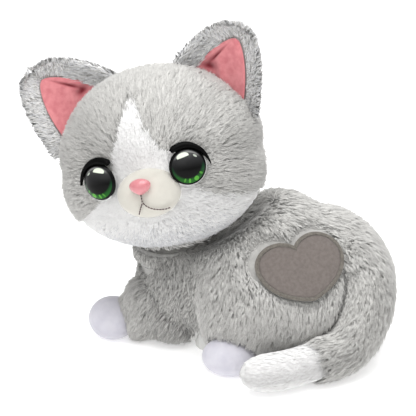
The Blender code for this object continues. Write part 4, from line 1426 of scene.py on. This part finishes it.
def make_felt(outline):
    """The felt, laid over the flank ring by ring from its middle."""
    rings, thickness = 14, 1.6
    points = [on_flank(0, 0, HEART_LIFT)]
    for i in range(1, rings + 1):
        points += [on_flank(x * i / rings, y * i / rings, HEART_LIFT) for x, y in outline]
    count, total = len(outline), len(points)
    points += [p - heart_out * thickness for p in points]
    faces = []
    for k in range(count):
        n = (k + 1) % count
        faces.append((0, 1 + k, 1 + n))
        faces.append((total, total + 1 + n, total + 1 + k))
        for i in range(rings - 1):
            a, b = 1 + i * count, 1 + (i + 1) * count
            faces.append((a + k, b + k, b + n, a + n))
            faces.append((total + a + k, total + a + n, total + b + n, total + b + k))
        a = 1 + (rings - 1) * count
        faces.append((a + k, total + a + k, total + a + n, a + n))
    patch = add_object("heart_felt", mesh_of("heart_felt", points, faces), FELT)
    fix_normals(patch)
    dress(patch, "heart_button", "dark_felt", "heart_patch")
    return patch


def evenly_round(line, pitch, per_pitch):
    """Points at even steps round a closed line, this many for each pitch."""
    parts = [math.dist(a, b) for a, b in zip(line, line[1:] + line[:1])]
    length = sum(parts)
    steps = int(length / pitch) * per_pitch
    spots, index, passed = [], 0, 0.0
    for i in range(steps):
        want = length * i / steps
        while passed + parts[index] < want:
            passed += parts[index]
            index += 1
        a, b = line[index], line[(index + 1) % len(line)]
        share = (want - passed) / parts[index]
        spots.append((a[0] + (b[0] - a[0]) * share, a[1] + (b[1] - a[1]) * share))
    return spots


def make_border():
    """The satin stitch: a closed tube round the felt's edge, ridged once a stitch."""
    around, stitch, per_stitch = 12, 0.85, 4
    spots = evenly_round(heart_outline(HEART_HALF_WIDTH + 1.7, 240), stitch, per_stitch)
    steps = len(spots)
    points, faces = [], []
    for i, (x, y) in enumerate(spots):
        before, after = spots[i - 1], spots[(i + 1) % steps]
        along = Vector((after[0] - before[0], after[1] - before[1])).normalized()
        across = Vector((along.y, -along.x))
        ridge = 1 + 0.10 * math.cos(math.tau * i / per_stitch)
        for k in range(around):
            a = math.tau * k / around
            wide, high = math.cos(a) * 1.25, math.sin(a) * 0.9 * ridge
            points.append(on_flank(x + across.x * wide, y + across.y * wide, HEART_LIFT + high))
    for i in range(steps):
        j = (i + 1) % steps
        for k in range(around):
            n = (k + 1) % around
            faces.append((i * around + k, i * around + n, j * around + n, j * around + k))
    border = add_object("heart_satin_stitch", mesh_of("heart_border", points, faces), THREAD)
    fix_normals(border)
    dress(border, "heart_button", "dark_thread", "heart_border")
    return border


# ---------------------------------------------------------------- neck
def head_underside(x, y):
    """How high the head's fabric stands over a point near the neck."""
    inverse = HEAD.inverted()
    start, along = inverse @ Vector((x, y, 0)), inverse.to_3x3() @ Vector((0, 0, 1))
    return min((enters for enters, _ in lump_crossings(start, along, HEAD_FORM, PILE)),
               default=math.inf)


def neck_top(angle):
    """The neck band's top, a gap below the head however far it sways."""
    radius, gap = 24, 7.5
    turns = [angle + math.radians(t) for t in range(-20, 21, 5)]
    return min(head_underside(NECK[0] + radius * math.cos(t), NECK[1] + radius * math.sin(t))
               for t in turns) - gap


def make_neck():
    """The plush neck band that stands from the shoulders up to the head."""
    profile = [(21.8, -5), (23.6, -3), (24.6, 0), (25.2, 0.5), (24.6, 0.93), (23.2, 1.0),
               (21.8, 0.93), (21.2, -3)]  # radius, and height: a share of the top if positive
    sides, base = 72, 58
    points, faces = [], []
    tops = [neck_top(math.tau * k / sides) for k in range(sides)]
    for r, high in profile:
        for k in range(sides):
            a = math.tau * k / sides
            z = base + (high if high < 0 else high * (tops[k] - base))
            points.append((NECK[0] + r * math.cos(a), NECK[1] + r * math.sin(a), z))
    rows = len(profile)
    for i in range(rows):
        for k in range(sides):
            n, j = (k + 1) % sides, (i + 1) % rows
            faces.append((i * sides + k, i * sides + n, j * sides + n, j * sides + k))
    band = add_object("neck_band_knit", mesh_of("neck_band", points, faces), KNIT)
    fix_normals(band)
    dress(band, "torso", "sleeve_knit", "neck_sleeve")

    rng = generator(50)
    place, normal = scatter(band, DENSITY["neck"], rng)
    outer = from_neck(place) > 22.6
    around = np.arctan2(place[:, 1] - NECK[1], place[:, 0] - NECK[0]) % math.tau
    below = np.interp(around, np.linspace(0, math.tau, sides + 1), tops + tops[:1]) - place[:, 2]
    keep = outer & (below > 1.5) & (place[:, 2] > base + 1)
    place, normal, below = place[keep], normal[keep], below[keep]
    flow = np.tile((0.0, 0.0, -1.0), (len(place), 1))
    # Painted shade: most of the band's pile is the darker shade pile, for the shade under the head.
    kind = np.where(rng.random(len(place)) < 0.7, SHADE_KIND, GREY_KIND)
    length = np.clip(2.5 + 0.4 * below, 2.5, 5.0)
    strands("neck_band_pile", place, normal, flow, length, "torso", kind, rng,
            rise=0.5)


# ---------------------------------------------------------------- CAD nodes that stay
def finish_cad():
    """Materials for every CAD node, by its slot."""
    plastic = plastic_material("housing_plastic", (0.74, 0.74, 0.72), 0.42)
    gear = plastic_material("gear_plastic", (0.85, 0.84, 0.78), 0.35)
    black = plastic_material("black_plastic", (0.018, 0.018, 0.020), 0.4)
    board, _ = new_material("circuit_board", (0.02, 0.2, 0.08), 0.35)
    mottled(board, (0.012, 0.13, 0.05), (0.03, 0.26, 0.11), 350, (0.45, 0.55), 1)
    add_bump(board, noise(board, 500, 1), 0.2, 0.0002)
    steel = metal_material("steel", (0.62, 0.62, 0.63), 0.3, (1, 1, 12))
    brass = metal_material("brass", (0.80, 0.58, 0.25), 0.3, (12, 1, 1))
    wrap = plastic_material("battery_wrap", (0.10, 0.14, 0.22), 0.3)
    print_mat = plastic_material("eye_print", (0.01, 0.01, 0.01), 0.3)
    by_slot = {"housing_plastic": plastic, "gear_plastic": gear, "black_plastic": black,
               "circuit_board": board, "steel": steel, "brass": brass, "battery_wrap": wrap,
               "stuffing": FIBREFILL, "eye_print": print_mat, "eye_clear": print_mat,
               "grey_plush": GREY_CLOTH, "white_plush": WHITE_CLOTH, "white_velboa": VELBOA,
               "pink_lining": PINK, "dark_felt": FELT, "dark_thread": THREAD,
               "sleeve_knit": KNIT, "nose_gloss": gear}
    slots = slot_of_nodes()
    for name, obj in frame["nodes"].items():
        material = by_slot.get(slots.get(name), plastic)
        if not obj.material_slots:
            obj.data.materials.append(material)
        for slot in obj.material_slots:
            slot.material = material


def slot_of_nodes():
    """Each node's material slot, from the record."""
    found = {}

    def walk(value):
        if isinstance(value, dict):
            if "node" in value and "slot" in value:
                found[value["node"]] = value["slot"]
            value = list(value.values())
        if isinstance(value, list):
            for inner in value:
                walk(inner)

    walk(frame["record"])
    return found


# ---------------------------------------------------------------- stage, light and camera
def make_stage():
    """A pale floor, three soft lamps and a white world."""
    mat, _ = new_material("pale_floor", (0.90, 0.90, 0.90), 0.8, Emission_Color=(1, 1, 1, 1),
                          Emission_Strength=0.42, Specular_IOR_Level=0.1)
    corners = [(FLOOR_REACH * x, FLOOR_REACH * y, FLOOR_LEVEL)
               for x, y in ((-1, -1), (1, -1), (1, 1), (-1, 1))]
    floor = add_object("floor", mesh_of("floor", corners, [(0, 1, 2, 3)]), mat)
    world = bpy.data.worlds.new("studio")
    world.use_nodes = True
    background = world.node_tree.nodes["Background"]
    background.inputs["Color"].default_value = (1, 1, 1, 1)
    background.inputs["Strength"].default_value = 0.62
    scene.world = world
    scene.view_settings.view_transform = "Standard"

    target = Vector((0, -20, 60)) * MM
    for name, place, size, power in (("key", (300, 0, 1400), 1000, 15.0),
                                     ("fill", (1000, -300, 900), 900, 2.8),
                                     ("back", (-700, 300, 1000), 1000, 4.0)):
        light = bpy.data.lights.new(name, "AREA")
        light.energy = power
        light.size = size * MM
        lamp = bpy.data.objects.new(name, light)
        scene.collection.objects.link(lamp)
        lamp.location = Vector(place) * MM
        lamp.rotation_euler = (target - lamp.location).to_track_quat('-Z', 'Y').to_euler()


def make_camera():
    """The camera, a metre from the kitten, on its left and above it."""
    azimuth, elevation = map(math.radians, CAMERA_ANGLE)
    back = Vector((math.sin(azimuth) * math.cos(elevation),
                   -math.cos(azimuth) * math.cos(elevation), math.sin(elevation)))
    data = bpy.data.cameras.new("camera")
    data.sensor_width = 36
    data.lens = CAMERA_LENS
    data.clip_start = 0.01
    data.clip_end = 20
    camera = bpy.data.objects.new("camera", data)
    scene.collection.objects.link(camera)
    camera.location = Vector(CAMERA_TARGET) * MM + back
    camera.rotation_euler = back.to_track_quat('Z', 'Y').to_euler()
    scene.camera = camera


make_stage()
make_camera()
finish_cad()
make_torso()
make_limbs()
make_tail()
make_head()
make_muzzle()
make_nose()
make_mouth()
make_eyes()
make_ears()
make_heart()
make_neck()
